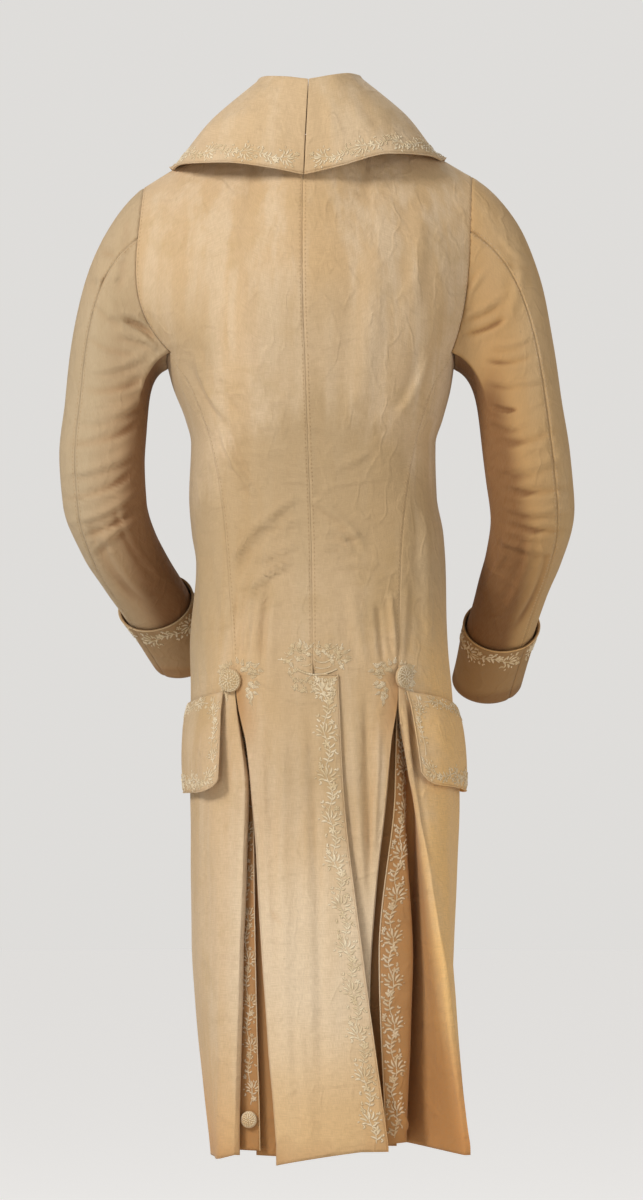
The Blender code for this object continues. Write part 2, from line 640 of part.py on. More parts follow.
def flap_grid(side, rows, columns):
    """A pocket flap on the front's skirt: its points moved out, its lower corners rounded, one of them curled."""
    v, u = np.linspace(0, 1, rows)[:, None], np.linspace(0, 1, columns)[None]
    level = np.linspace(FLAP_TOP_Z[side][0] + 2, FLAP_FOOT_Z[side][1] - 2, FLAP_STEPS)
    down = (HIP_Z - level) / (HIP_Z - FRONT_FOLDS[side]["turn"][8])
    step = np.linspace(0, 1, FLAP_STEPS)
    ground = np.concatenate((front_skirt(side, down, step), front_flap(side, down, step)[:, 1:]), axis=1)
    first, last = FLAP_BACK_X[side]
    laid = np.empty((FLAP_STEPS, columns, 3))
    for row, line in enumerate(ground):
        reach = np.concatenate(((0.0,), np.cumsum(np.linalg.norm(np.diff(line, axis=0), axis=1))))
        back_x = first + (last - first) * step[row]
        back = np.interp(abs(back_x), np.maximum.accumulate(np.abs(line[:, 0])), reach)
        for i in range(3):
            laid[row, :, i] = np.interp(back + FLAP_LENGTH * u[0], reach, line[:, i])
    way = normals_of(laid)
    way *= np.sign((way * laid * (1, 1, 0)).sum())
    corner = FLAP_CORNER * np.abs(2 * u - 1) ** 12
    top = FLAP_TOP_Z[side][0] + (FLAP_TOP_Z[side][1] - FLAP_TOP_Z[side][0]) * u
    foot = FLAP_FOOT_Z[side][0] + (FLAP_FOOT_Z[side][1] - FLAP_FOOT_Z[side][0]) * u + corner
    z = top + (foot - top) * v
    spot, out = np.empty((rows, columns, 3)), np.empty((rows, columns, 3))
    for column in range(columns):
        for i in range(3):
            spot[:, column, i] = np.interp(-z[:, column], -laid[:, column, 2], laid[:, column, i])
            out[:, column, i] = np.interp(-z[:, column], -laid[:, column, 2], way[:, column, i])
    curl = FLAP_CURL[side] * np.exp(-((u / 0.16) ** 2)) * v**3
    proud = FLAP_TOP_PROUD + (FLAP_PROUD - FLAP_TOP_PROUD) * ease(4 * v) + 3 * np.sin(math.pi * v * 0.9) + curl
    return spot + out * proud[..., None]


def grid_mesh(name, grids, colour, wall, flip, roughness=0.85):
    """Makes one sub-part of grids that share their edges, with a wall that goes inwards."""
    mesh = bmesh.new()
    for grid in grids:
        rows, columns = grid.shape[:2]
        spots = [mesh.verts.new(point * MM) for point in grid.reshape(-1, 3)]
        for i in range(rows - 1):
            for j in range(columns - 1):
                a = i * columns + j
                face = [spots[a], spots[a + columns], spots[a + columns + 1], spots[a + 1]]
                mesh.faces.new(face[::-1] if flip else face)
    bmesh.ops.remove_doubles(mesh, verts=mesh.verts, dist=0.00002)
    for face in mesh.faces:
        face.smooth = True
    data = bpy.data.meshes.new(name)
    mesh.to_mesh(data)
    mesh.free()
    thing = bpy.data.objects.new(name, data)
    bpy.context.collection.objects.link(thing)
    thing.data.materials.append(material(name, colour, roughness))
    if wall:
        layer = thing.modifiers.new("Cloth wall", "SOLIDIFY")
        layer.thickness = wall * MM
        layer.offset = -1.0
        layer.use_even_offset = False
        layer.use_quality_normals = True
    return thing


def material(name, colour, roughness):
    """A plain material for one sub-part."""
    made = bpy.data.materials.new(name)
    made.use_nodes = True
    shader = made.node_tree.nodes["Principled BSDF"]
    shader.inputs["Base Color"].default_value = colour
    shader.inputs["Roughness"].default_value = roughness
    shader.inputs["Metallic"].default_value = 0.0
    return made


def button(name, place, way, radius, height):
    """A covered button: a domed disc turned about its own axis."""
    way = np.array(way, float) / np.linalg.norm(way)
    side_way = np.cross(way, (0.0, 0.0, 1.0))
    side_way /= np.linalg.norm(side_way)
    up_way = np.cross(side_way, way)
    mesh = bmesh.new()
    turns = BUTTON_SIDES
    rings = []
    for out, lift_share in BUTTON_PROFILE:
        ring = []
        for k in range(turns):
            turn = 2 * math.pi * k / turns
            arm = side_way * math.cos(turn) + up_way * math.sin(turn)
            ring.append(mesh.verts.new((place + arm * out * radius + way * lift_share * height) * MM))
        rings.append(ring)
    for low, high in zip(rings[:-1], rings[1:]):
        for k in range(turns):
            mesh.faces.new((low[k], low[(k + 1) % turns], high[(k + 1) % turns], high[k]))
    mesh.faces.new(rings[0][::-1])
    mesh.faces.new(rings[-1])
    bmesh.ops.recalc_face_normals(mesh, faces=mesh.faces)
    for face in mesh.faces:
        face.smooth = True
    data = bpy.data.meshes.new(name)
    mesh.to_mesh(data)
    mesh.free()
    thing = bpy.data.objects.new(name, data)
    bpy.context.collection.objects.link(thing)
    thing.data.materials.append(material(name, BUTTON_COLOUR, 0.7))
    return thing


for thing in list(bpy.data.objects):
    bpy.data.objects.remove(thing, do_unlink=True)

yoke_down = np.linspace(0, 1, YOKE_ROWS)
torso_z = np.linspace(UNDERARM_Z, HIP_Z, TORSO_ROWS)[:, None]
skirt_down = np.linspace(0, 1, SKIRT_ROWS) ** 1.15

for side in SIDES:
    flip = side == "left"

    # Back: yoke, waist and skirt, its lap at the vent and its share of the side pleats
    share = np.linspace(0, 1, BACK_COLUMNS)
    yoke = back_yoke(side, share, yoke_down)
    torso = back_torso(side, torso_z + 0 * share, share)
    yoke[-1] = torso[0]
    skirt_share = np.concatenate((np.linspace(-1, 0, 4)[:-1], share))
    skirt = back_skirt(side, skirt_down, skirt_share)
    skirt[0, 3:] = torso[-1]
    folded = pleats(side, BACK_FOLDS[side], skirt_down, skirt[:, -1])
    grid_mesh("back_" + side, [yoke, torso, skirt, folded], CLOTH_COLOUR, CLOTH, flip)

    # Front: yoke, side and skirt, with its own pleats and the embroidered edge of the side vent
    share = np.linspace(0, 1, FRONT_COLUMNS)
    under_share = np.linspace(0, 1, UNDER_COLUMNS)
    yoke = front_yoke(side, share, yoke_down)
    torso = front_torso(side, torso_z + 0 * share, share)
    yoke[-1] = torso[0]
    under = under_arm(side, torso_z + 0 * under_share, under_share)
    torso[:, 0] = under[:, -1]
    yoke[-1, 0] = under[0, -1]
    skirt = front_skirt(side, skirt_down, under_share)
    skirt[0] = under[-1]
    flap = front_flap(side, skirt_down, share)
    flap[:, 0] = skirt[:, -1]
    flap[0] = torso[-1]
    folded = pleats(side, FRONT_FOLDS[side], skirt_down, skirt[:, 0])[:, ::-1]
    grid_mesh("front_" + side, [yoke, torso, under, skirt, flap, folded], CLOTH_COLOUR, CLOTH, flip)

    # Sleeve in two halves, joined along the hind arm and the fore arm
    ring, ring_angle = armhole(side)
    hind = int(np.argmin(np.abs(ring_angle - HIND_SEAM)))
    fore = int(np.argmin(np.abs(ring_angle - FORE_SEAM)))
    gap = SEAM_GAP / 2 / 40
    for half, picks in (
        ("top", np.concatenate((np.arange(fore, len(ring)), np.arange(1, hind + 1)))),
        ("under", np.arange(hind, fore + 1)),
    ):
        angle = np.unwrap(ring_angle[picks])
        angle[0] += gap
        angle[-1] -= gap
        edge = ring[picks].copy()
        edge[0] += (edge[1] - edge[0]) / np.linalg.norm(edge[1] - edge[0]) * SEAM_GAP / 2
        edge[-1] += (edge[-2] - edge[-1]) / np.linalg.norm(edge[-2] - edge[-1]) * SEAM_GAP / 2
        head = sleeve_head(side, edge, angle, np.linspace(0, 1, HEAD_ROWS))
        arm = sleeve_rings(side, np.linspace(0, 1, ARM_ROWS), angle)
        head[-1] = arm[0]
        grid_mesh("sleeve_" + half + "_" + side, [head, arm], CLOTH_COLOUR, CLOTH, flip)

    # Turned-back cuff around the wrist
    reach = sleeve_frame(side, np.zeros(1))[4]
    up = np.linspace(0, 1, CUFF_ROWS)
    angle = np.linspace(HIND_SEAM + gap, HIND_SEAM + 2 * math.pi - gap, CUFF_COLUMNS)
    cuff = sleeve_rings(side, 1 - CUFF_DEPTH / reach * up, angle, CUFF_PROUD + CUFF_FLARE * up)
    grid_mesh("cuff_" + side, [cuff[::-1]], EDGE_COLOUR, FIRM_CLOTH, flip)

    # Collar
    share = np.linspace(0.003, 1, COLLAR_COLUMNS)
    collar = collar_half(side, share, COLLAR_PARTS)
    ground = yoke_ground(side)
    middle_x = collar[0, :, 0].copy()
    collar[:, 2:] = lift(collar[:, 2:], ground, FIRM_CLOTH + LIE_GAP + COLLAR_CLEAR)
    collar[0, :, 0] = middle_x
    grid_mesh("collar_" + side, [collar.transpose(1, 0, 2)], EDGE_COLOUR, FIRM_CLOTH, flip)

    # Pocket flap
    grid_mesh("pocket_flap_" + side, [flap_grid(side, 6, 9)], EDGE_COLOUR, FIRM_CLOTH, flip)

    # Hip button on the head of the side pleats
    place = section(np.array(HIP_BUTTON_Z[side]), angle_at(HIP_BUTTON_Z[side], HIP_BUTTON_X[side]))
    way = np.array((SIDES[side] * 0.45, -1.0, 0.0))
    button("hip_button_" + side, place + way * HIP_BUTTON_PROUD[side], way, BUTTON_RADIUS, BUTTON_HEIGHT)

# Button at the foot of the left side vent, on the pleat's embroidered edge
down = np.array((PLEAT_BUTTON_DOWN,))
edge = fold_point(FRONT_FOLDS["left"], "edge", down)[0]
ridge = fold_point(FRONT_FOLDS["left"], "ridge", down)[0]
way = np.array((-0.25, -1.0, 0.0))
place = ridge + (edge - ridge) * PLEAT_BUTTON_SHARE + way * PLEAT_BUTTON_PROUD
button("pleat_button_left", place, way, SMALL_BUTTON_RADIUS, BUTTON_HEIGHT)

# Buttons down the wearer's right front
lines = front_yoke("right", np.array(FRONT_BUTTON_SHARES), np.linspace(0, 1, YOKE_STEPS))
for k in range(FRONT_BUTTONS):
    z = FRONT_BUTTON_TOP_Z - k * FRONT_BUTTON_PITCH
    near = min(int(np.argmin(np.abs(lines[:, 1, 2] - z))), YOKE_STEPS - 2)
    spot = lines[near, 1]
    way = np.cross(lines[near + 1, 1] - spot, lines[near, 0] - spot)
    if z < UNDERARM_Z:
        x = float(read(SEAMS, "front_edge", z)) + SMALL_BUTTON_RADIUS + FRONT_BUTTON_INSET
        inset = CHEST_SLOPE_INSET if z > CHEST_SLOPE_Z else 0.0
        spot = np.array((x, float(read(BODY, "front", z)) - inset, z))
        way = np.array((0.05, 1.0, 0.0))
    way = way / np.linalg.norm(way) * np.sign(way[1])
    button("front_button_%d" % (k + 1), spot + way * FRONT_BUTTON_PROUD, way, SMALL_BUTTON_RADIUS, BUTTON_HEIGHT)
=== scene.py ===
import math

import bpy
import numpy as np
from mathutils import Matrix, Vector


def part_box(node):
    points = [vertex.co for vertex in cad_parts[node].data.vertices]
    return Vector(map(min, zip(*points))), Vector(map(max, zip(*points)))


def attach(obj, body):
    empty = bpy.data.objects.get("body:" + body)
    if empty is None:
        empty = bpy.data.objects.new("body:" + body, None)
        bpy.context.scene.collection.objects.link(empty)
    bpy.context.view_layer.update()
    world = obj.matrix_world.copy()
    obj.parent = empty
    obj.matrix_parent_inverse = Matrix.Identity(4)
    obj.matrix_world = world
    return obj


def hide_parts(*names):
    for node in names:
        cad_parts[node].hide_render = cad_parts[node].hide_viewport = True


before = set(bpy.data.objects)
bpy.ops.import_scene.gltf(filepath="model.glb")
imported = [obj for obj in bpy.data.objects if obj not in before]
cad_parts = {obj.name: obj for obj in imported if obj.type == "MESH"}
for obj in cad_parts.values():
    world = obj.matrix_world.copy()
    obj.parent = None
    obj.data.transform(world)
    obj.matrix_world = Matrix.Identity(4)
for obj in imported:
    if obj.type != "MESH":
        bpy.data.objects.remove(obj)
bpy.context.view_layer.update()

# Camera: level with the middle of the coat and far behind it, so that it draws the coat as flat as the photo
eye = bpy.data.objects.new("camera", bpy.data.cameras.new("camera"))
eye.location = (0.010, -12.0, -0.494)
eye.rotation_euler = (math.radians(90), 0, 0)
eye.data.sensor_width = 36
eye.data.lens = 342.9
bpy.context.collection.objects.link(eye)
bpy.context.scene.camera = eye

# Pale floor, flat and wide
floor_mesh = bpy.data.meshes.new("floor")
round_floor = [(16 * math.cos(k * math.pi / 48), 16 * math.sin(k * math.pi / 48), -1.35) for k in range(96)]
floor_mesh.from_pydata(round_floor, [], [tuple(range(96))])
floor = bpy.data.objects.new("floor", floor_mesh)
bpy.context.collection.objects.link(floor)
plain = bpy.data.materials.new("floor")
plain.use_nodes = True
plain.node_tree.nodes["Principled BSDF"].inputs["Base Color"].default_value = (0.80, 0.79, 0.775, 1)
plain.node_tree.nodes["Principled BSDF"].inputs["Roughness"].default_value = 0.95
floor_ray = plain.node_tree.nodes.new("ShaderNodeLightPath")
shown = plain.node_tree.nodes.new("ShaderNodeMath")
shown.operation = "MULTIPLY"
shown.inputs[1].default_value = 0.50
plain.node_tree.links.new(floor_ray.outputs["Is Camera Ray"], shown.inputs[0])
floor_shader = plain.node_tree.nodes["Principled BSDF"]
plain.node_tree.links.new(shown.outputs[0], floor_shader.inputs["Emission Strength"])
floor_shader.inputs["Emission Color"].default_value = (1.0, 0.985, 0.965, 1)
floor_mesh.materials.append(plain)

# Soft studio light: a large one from the upper left, a fill from the right, one before the coat and one low
for name, place, size, power in (
    ("key", (-2.6, -2.7, 2.0), 1.2, 136.0),
    ("fill", (2.9, -2.4, 0.3), 2.0, 30.0),
    ("front", (0.4, 2.0, 1.3), 1.5, 22.0),
    ("low", (-1.0, -3.0, -1.2), 1.6, 16.0),
):
    lamp = bpy.data.objects.new(name, bpy.data.lights.new(name, "AREA"))
    lamp.data.energy = power
    lamp.data.size = size
    lamp.location = place
    lamp.visible_camera = False
    lamp.rotation_euler = (Vector((0.0, 0.0, -0.45)) - Vector(place)).to_track_quat("-Z", "Y").to_euler()
    bpy.context.collection.objects.link(lamp)

# A pale room, which gives less light than it shows
room = bpy.data.worlds.new("room")
room.use_nodes = True
seen = room.node_tree.nodes.new("ShaderNodeBackground")
seen.inputs[0].default_value = (0.735, 0.722, 0.703, 1)
room.node_tree.nodes["Background"].inputs[0].default_value = (0.86, 0.84, 0.82, 1)
room.node_tree.nodes["Background"].inputs[1].default_value = 0.34
either = room.node_tree.nodes.new("ShaderNodeMixShader")
ray = room.node_tree.nodes.new("ShaderNodeLightPath")
room.node_tree.links.new(ray.outputs["Is Camera Ray"], either.inputs[0])
room.node_tree.links.new(room.node_tree.nodes["Background"].outputs[0], either.inputs[1])
room.node_tree.links.new(seen.outputs[0], either.inputs[2])
room.node_tree.links.new(either.outputs[0], room.node_tree.nodes["World Output"].inputs["Surface"])
bpy.context.scene.world = room
bpy.context.scene.view_settings.view_transform = "Standard"

# The cloth of the whole coat: fine plain-woven cotton of the colour of nankeen, faded pinkish where the light
# reached it, yellowed, browned at the waist and stained orange at the hems. Its colour also holds painted
# shade: brown-orange inside the pleats, grey-brown on the left flank under the arm, and darker on the
# sleeves' shaded sides and in their crease troughs, mixed there with soil. All its pieces are cut from it and
# share its colour.


def ease(u):
    """Rises smoothly from 0 to 1."""
    u = np.clip(u, 0, 1)
    return u * u * (3 - 2 * u)


def blended(tree, share, first, second, way="MIX"):
    """The colour between two colours."""
    node = tree.nodes.new("ShaderNodeMix")
    node.data_type = "RGBA"
    node.blend_type = way
    for where, value in ((0, share), (6, first), (7, second)):
        if isinstance(value, bpy.types.NodeSocket):
            tree.links.new(value, node.inputs[where])
        else:
            node.inputs[where].default_value = value
    return node.outputs[2]


def spread(tree, value, low, high, to_low=0.0, to_high=1.0):
    """A value mapped smoothly from one range to another."""
    node = tree.nodes.new("ShaderNodeMapRange")
    node.interpolation_type = "SMOOTHSTEP"
    tree.links.new(value, node.inputs[0])
    for where, number in ((1, low), (2, high), (3, to_low), (4, to_high)):
        node.inputs[where].default_value = number
    return node.outputs[0]


def reckon(tree, operation, first, second=0.0, third=0.0):
    """One sum of values."""
    node = tree.nodes.new("ShaderNodeMath")
    node.operation = operation
    for where, value in ((0, first), (1, second), (2, third)):
        if isinstance(value, bpy.types.NodeSocket):
            tree.links.new(value, node.inputs[where])
        else:
            node.inputs[where].default_value = value
    return node.outputs[0]


def noise(tree, vector, scale, detail=3.0, roughness=0.5, stretch=None):
    """A noise texture's value."""
    if stretch:
        mapping = tree.nodes.new("ShaderNodeMapping")
        mapping.inputs["Scale"].default_value = stretch
        tree.links.new(vector, mapping.inputs["Vector"])
        vector = mapping.outputs[0]
    node = tree.nodes.new("ShaderNodeTexNoise")
    node.inputs["Scale"].default_value = scale
    node.inputs["Detail"].default_value = detail
    node.inputs["Roughness"].default_value = roughness
    tree.links.new(vector, node.inputs["Vector"])
    return node.outputs[0]


stains_and_shade = bpy.data.node_groups.new("stained and shaded cotton", "ShaderNodeTree")
stains_and_shade.interface.new_socket("Deep", in_out="INPUT", socket_type="NodeSocketFloat")
stains_and_shade.interface.new_socket("Dull", in_out="INPUT", socket_type="NodeSocketFloat")
stains_and_shade.interface.new_socket("Tinted", in_out="INPUT", socket_type="NodeSocketFloat")
stains_and_shade.interface.new_socket("Tint", in_out="INPUT", socket_type="NodeSocketColor")
stains_and_shade.interface.new_socket("Color", in_out="OUTPUT", socket_type="NodeSocketColor")
stains_and_shade.interface.new_socket("Height", in_out="OUTPUT", socket_type="NodeSocketFloat")
given = stains_and_shade.nodes.new("NodeGroupInput")
result = stains_and_shade.nodes.new("NodeGroupOutput")
where = stains_and_shade.nodes.new("ShaderNodeTexCoord").outputs["Object"]
weave_at = stains_and_shade.nodes.new("ShaderNodeUVMap")
weave_at.uv_map = "cloth"
weave_at = weave_at.outputs[0]
axes = stains_and_shade.nodes.new("ShaderNodeSeparateXYZ")
stains_and_shade.links.new(where, axes.inputs[0])
broad = noise(stains_and_shade, where, 5.0, 3.0, 0.55, (1.0, 1.0, 0.55))
patchy = noise(stains_and_shade, where, 17.0, 5.0, 0.6)
streaks = noise(stains_and_shade, where, 9.0, 4.0, 0.6, (3.2, 3.2, 0.25))
specks = noise(stains_and_shade, where, 85.0, 3.0, 0.65)
pinkish, yellowed = (0.665, 0.482, 0.300, 1), (0.610, 0.408, 0.212, 1)
colour = blended(stains_and_shade, spread(stains_and_shade, broad, 0.38, 0.64), pinkish, yellowed)
tawny = spread(stains_and_shade, axes.outputs["X"], -0.100, 0.120, 0.0, 0.38)
colour = blended(stains_and_shade, tawny, colour, (0.540, 0.352, 0.165, 1))
colour = blended(stains_and_shade, spread(stains_and_shade, streaks, 0.44, 0.64, 0.0, 0.75), colour, (0.700, 0.530, 0.345, 1))
colour = blended(stains_and_shade, spread(stains_and_shade, patchy, 0.50, 0.70, 0.0, 0.34), colour, (0.490, 0.325, 0.145, 1))
waist = reckon(stains_and_shade, "ADD", axes.outputs["Z"], reckon(stains_and_shade, "MULTIPLY", patchy, 0.10))
bowed = reckon(stains_and_shade, "MULTIPLY", axes.outputs["X"], axes.outputs["X"])
waist = reckon(stains_and_shade, "MULTIPLY_ADD", bowed, 7.0, waist)
waist = reckon(stains_and_shade, "MULTIPLY_ADD", streaks, 0.16, waist)
band = reckon(
    stains_and_shade, "MULTIPLY", spread(stains_and_shade, waist, -0.400, -0.270), spread(stains_and_shade, waist, -0.185, -0.120, 1.0, 0.0)
)
colour = blended(stains_and_shade, reckon(stains_and_shade, "MULTIPLY", band, 0.60), colour, (0.420, 0.275, 0.125, 1))
right = reckon(stains_and_shade, "ADD", axes.outputs["X"], reckon(stains_and_shade, "MULTIPLY", patchy, 0.08))
low = spread(stains_and_shade, axes.outputs["Z"], -0.450, -0.600)
right = reckon(stains_and_shade, "MULTIPLY", spread(stains_and_shade, right, 0.125, 0.190), low)
colour = blended(stains_and_shade, reckon(stains_and_shade, "MULTIPLY", right, 0.85), colour, (0.900, 0.545, 0.205, 1))
# Painted shade: the left flank under the arm, where the sleeve shades it, greyer and darker.
flank_shade = reckon(stains_and_shade, "ADD", axes.outputs["X"], reckon(stains_and_shade, "MULTIPLY", patchy, 0.03))
low = spread(stains_and_shade, axes.outputs["Z"], -0.120, -0.250)
flank_shade = reckon(stains_and_shade, "MULTIPLY", spread(stains_and_shade, flank_shade, -0.070, -0.112), low)
flank_shade = reckon(stains_and_shade, "MULTIPLY", flank_shade, spread(stains_and_shade, axes.outputs["Z"], -0.640, -0.540, 0.25, 1.0))
colour = blended(stains_and_shade, reckon(stains_and_shade, "MULTIPLY", flank_shade, 0.50), colour, (0.385, 0.285, 0.165, 1))
low = spread(stains_and_shade, axes.outputs["Z"], -0.690, -0.840)
washed = reckon(stains_and_shade, "MULTIPLY", low, spread(stains_and_shade, bowed, 0.010, 0.004))
washed = reckon(stains_and_shade, "MULTIPLY", washed, spread(stains_and_shade, axes.outputs["Z"], -1.060, -0.960))
colour = blended(stains_and_shade, reckon(stains_and_shade, "MULTIPLY", washed, 0.60), colour, (0.810, 0.650, 0.455, 1))
low = spread(stains_and_shade, axes.outputs["Z"], -0.130, -0.200)
centre = reckon(stains_and_shade, "MULTIPLY", spread(stains_and_shade, bowed, 0.0060, 0.0002), low)
centre = reckon(stains_and_shade, "MULTIPLY", centre, spread(stains_and_shade, axes.outputs["Z"], -0.780, -0.660))
colour = blended(stains_and_shade, reckon(stains_and_shade, "MULTIPLY", centre, 0.34), colour, (0.430, 0.310, 0.175, 1))
hem = reckon(stains_and_shade, "ADD", axes.outputs["Z"], reckon(stains_and_shade, "MULTIPLY", broad, 0.34))
hem = spread(stains_and_shade, hem, -0.740, -0.930)
beside = spread(stains_and_shade, bowed, 0.0008, 0.0120, 0.30, 1.0)
colour = blended(stains_and_shade, reckon(stains_and_shade, "MULTIPLY", hem, 0.75), colour, (0.720, 0.520, 0.270, 1))
hem = reckon(stains_and_shade, "MULTIPLY", hem, beside)
colour = blended(stains_and_shade, reckon(stains_and_shade, "MULTIPLY", hem, 0.92), colour, (0.640, 0.310, 0.100, 1))
foot = spread(stains_and_shade, axes.outputs["X"], 0.060, 0.150)
foot = reckon(stains_and_shade, "MULTIPLY", hem, foot)
colour = blended(stains_and_shade, reckon(stains_and_shade, "MULTIPLY", foot, 0.7), colour, (0.600, 0.215, 0.050, 1))
edge_dirt = spread(stains_and_shade, reckon(stains_and_shade, "ADD", axes.outputs["Z"], reckon(stains_and_shade, "MULTIPLY", patchy, 0.05)),
                   -1.020, -1.060)
colour = blended(stains_and_shade, reckon(stains_and_shade, "MULTIPLY", edge_dirt, 0.5), colour, (0.430, 0.210, 0.080, 1))
# Darker brown-orange by the deep mark: painted shade inside the pleats, soil and painted shade on the
# sleeves, soil at the cuffs' edges.
soil_and_shade = reckon(stains_and_shade, "MULTIPLY", given.outputs["Deep"], 0.9)
colour = blended(stains_and_shade, soil_and_shade, colour, (0.410, 0.185, 0.055, 1))
pale = reckon(stains_and_shade, "ADD", axes.outputs["Z"], reckon(stains_and_shade, "MULTIPLY", broad, 0.10))
colour = blended(stains_and_shade, spread(stains_and_shade, pale, -0.030, 0.060, 0.0, 0.38), colour, (0.720, 0.545, 0.345, 1))
colour = blended(stains_and_shade, given.outputs["Tinted"], colour, given.outputs["Tint"])
colour = blended(stains_and_shade, given.outputs["Dull"], colour, (0.310, 0.190, 0.085, 1))
# Darkest brown where the deep mark passes 1: soil and painted shade on the sleeves' inner sides, soil at the
# cuffs' worn edges.
grime_and_shade = spread(stains_and_shade, given.outputs["Deep"], 1.0, 1.7, 0.0, 0.85)
colour = blended(stains_and_shade, grime_and_shade, colour, (0.185, 0.074, 0.024, 1))
warp = noise(stains_and_shade, weave_at, 1.0, 2.0, 0.6, (1500.0, 120.0, 1.0))
weft = noise(stains_and_shade, weave_at, 1.0, 2.0, 0.6, (90.0, 1300.0, 1.0))
weave = reckon(stains_and_shade, "ADD", warp, weft)
colour = blended(stains_and_shade, spread(stains_and_shade, weave, 0.82, 1.18, 0.0, 0.22), colour, (0.330, 0.220, 0.110, 1))
colour = blended(stains_and_shade, spread(stains_and_shade, specks, 0.70, 0.80, 0.0, 0.35), colour, (0.300, 0.190, 0.090, 1))
stains_and_shade.links.new(colour, result.inputs["Color"])
rumple = noise(stains_and_shade, where, 55.0, 4.0, 0.6)
crumple = noise(stains_and_shade, where, 13.0, 2.5, 0.5, (1.0, 1.0, 1.7))
crumple = reckon(stains_and_shade, "ABSOLUTE", reckon(stains_and_shade, "SUBTRACT", crumple, 0.5))
crumple = spread(stains_and_shade, crumple, 0.0, 0.085, 1.0, 0.0)
second = noise(stains_and_shade, where, 21.0, 2.0, 0.5, (1.6, 1.6, 0.8))
second = reckon(stains_and_shade, "ABSOLUTE", reckon(stains_and_shade, "SUBTRACT", second, 0.47))
crumple = reckon(stains_and_shade, "ADD", crumple, spread(stains_and_shade, second, 0.0, 0.06, 0.6, 0.0))
rumple = reckon(stains_and_shade, "MULTIPLY_ADD", crumple, 0.62, rumple)
relief = reckon(stains_and_shade, "MULTIPLY_ADD", weave, 0.30, reckon(stains_and_shade, "MULTIPLY", rumple, 1.6))
stains_and_shade.links.new(relief, result.inputs["Height"])


def cotton(name, dull=0.0, tinted=0.0, tint=(0.5, 0.5, 0.5, 1), sheen=0.18):
    """The cotton, stained and with painted shade, as a material: matt, a little sheen, the weave's relief."""
    made = bpy.data.materials.new(name)
    made.use_nodes = True
    tree = made.node_tree
    shader = tree.nodes["Principled BSDF"]
    group = tree.nodes.new("ShaderNodeGroup")
    group.node_tree = stains_and_shade
    deep = tree.nodes.new("ShaderNodeAttribute")
    deep.attribute_name = "deep"
    tree.links.new(deep.outputs["Fac"], group.inputs["Deep"])
    group.inputs["Dull"].default_value = dull
    group.inputs["Tinted"].default_value = tinted
    group.inputs["Tint"].default_value = tint
    tree.links.new(group.outputs["Color"], shader.inputs["Base Color"])
    bump = tree.nodes.new("ShaderNodeBump")
    bump.inputs["Strength"].default_value = 0.55
    bump.inputs["Distance"].default_value = 0.0012
    tree.links.new(group.outputs["Height"], bump.inputs["Height"])
    tree.links.new(bump.outputs[0], shader.inputs["Normal"])
    shader.inputs["Roughness"].default_value = 0.88
    shader.inputs["Specular IOR Level"].default_value = 0.22
    shader.inputs["Sheen Weight"].default_value = sheen
    shader.inputs["Sheen Roughness"].default_value = 0.45
    shader.inputs["Sheen Tint"].default_value = (1.0, 0.90, 0.75, 1)
    return made


PIXEL = 1.05  # mm of the coat in a pixel of the picture
MIDDLE_COLUMN = 312  # pixel column that runs down the coat's middle
NECK_ROW = 130  # pixel row at height 0


def creased(points, normals, rows, facing):
    """Height of soft creases, each along a bowed line in the picture seen from the back (facing -1) or front.

    A row is a crease: its ends and bow in picture pixels, its half width in pixels and its height in mm. The
    height falls off across the line as a bell, with a shallower trough beside it, and fades at both ends.
    """
    across, down = points[:, 0] / PIXEL + MIDDLE_COLUMN, NECK_ROW - points[:, 2] / PIXEL
    seen = ease(normals[:, 1] * facing * 2.2 + 0.15)
    height = np.zeros(len(points))
    for x0, y0, x1, y1, bow, width, tall in rows:
        width = 0.75 * width
        way = np.array((x1 - x0, y1 - y0), float)
        size = math.hypot(*way)
        way /= size
        t = ((across - x0) * way[0] + (down - y0) * way[1]) / size
        off = (down - y0) * way[0] - (across - x0) * way[1] - bow * 4 * t * (1 - t)
        taper = ease(t * 3.2 + 0.18) * ease((1 - t) * 3.2 + 0.18)
        ridge = np.exp(-((off / width) ** 2)) - 0.45 * np.exp(-((off / width - 1.5) ** 2))
        height += tall * ridge * taper
    return height * seen


def rumpled(points, size):
    """Gentle unevenness of hanging cloth: a sum of slanted waves of unlike lengths."""
    x, y, z = points.T / 1000
    waves = np.sin(31 * x + 17 * y + 23 * z + 1.3) + np.sin(-19 * x + 41 * y + 12 * z + 0.4)
    waves += 0.7 * np.sin(53 * x - 29 * y + 47 * z + 2.1) + 0.5 * np.sin(83 * x + 61 * y - 71 * z + 0.7)
    return size * waves / 2


def spaced(count):
    """Shares from 0 to 1, closer together near both ends."""
    t = np.linspace(0, 1, count)
    return 0.35 * t + 0.65 * (1 - np.cos(math.pi * t)) / 2


def row_length(grid):
    """Length from a grid's first column along its rows."""
    step = np.linalg.norm(np.diff(grid, axis=1), axis=-1)
    return np.concatenate((np.zeros((len(grid), 1)), np.cumsum(step, axis=1)), axis=1)


def column_length(grid):
    """Length from a grid's first row down its columns."""
    return row_length(grid.transpose(1, 0, 2)).T


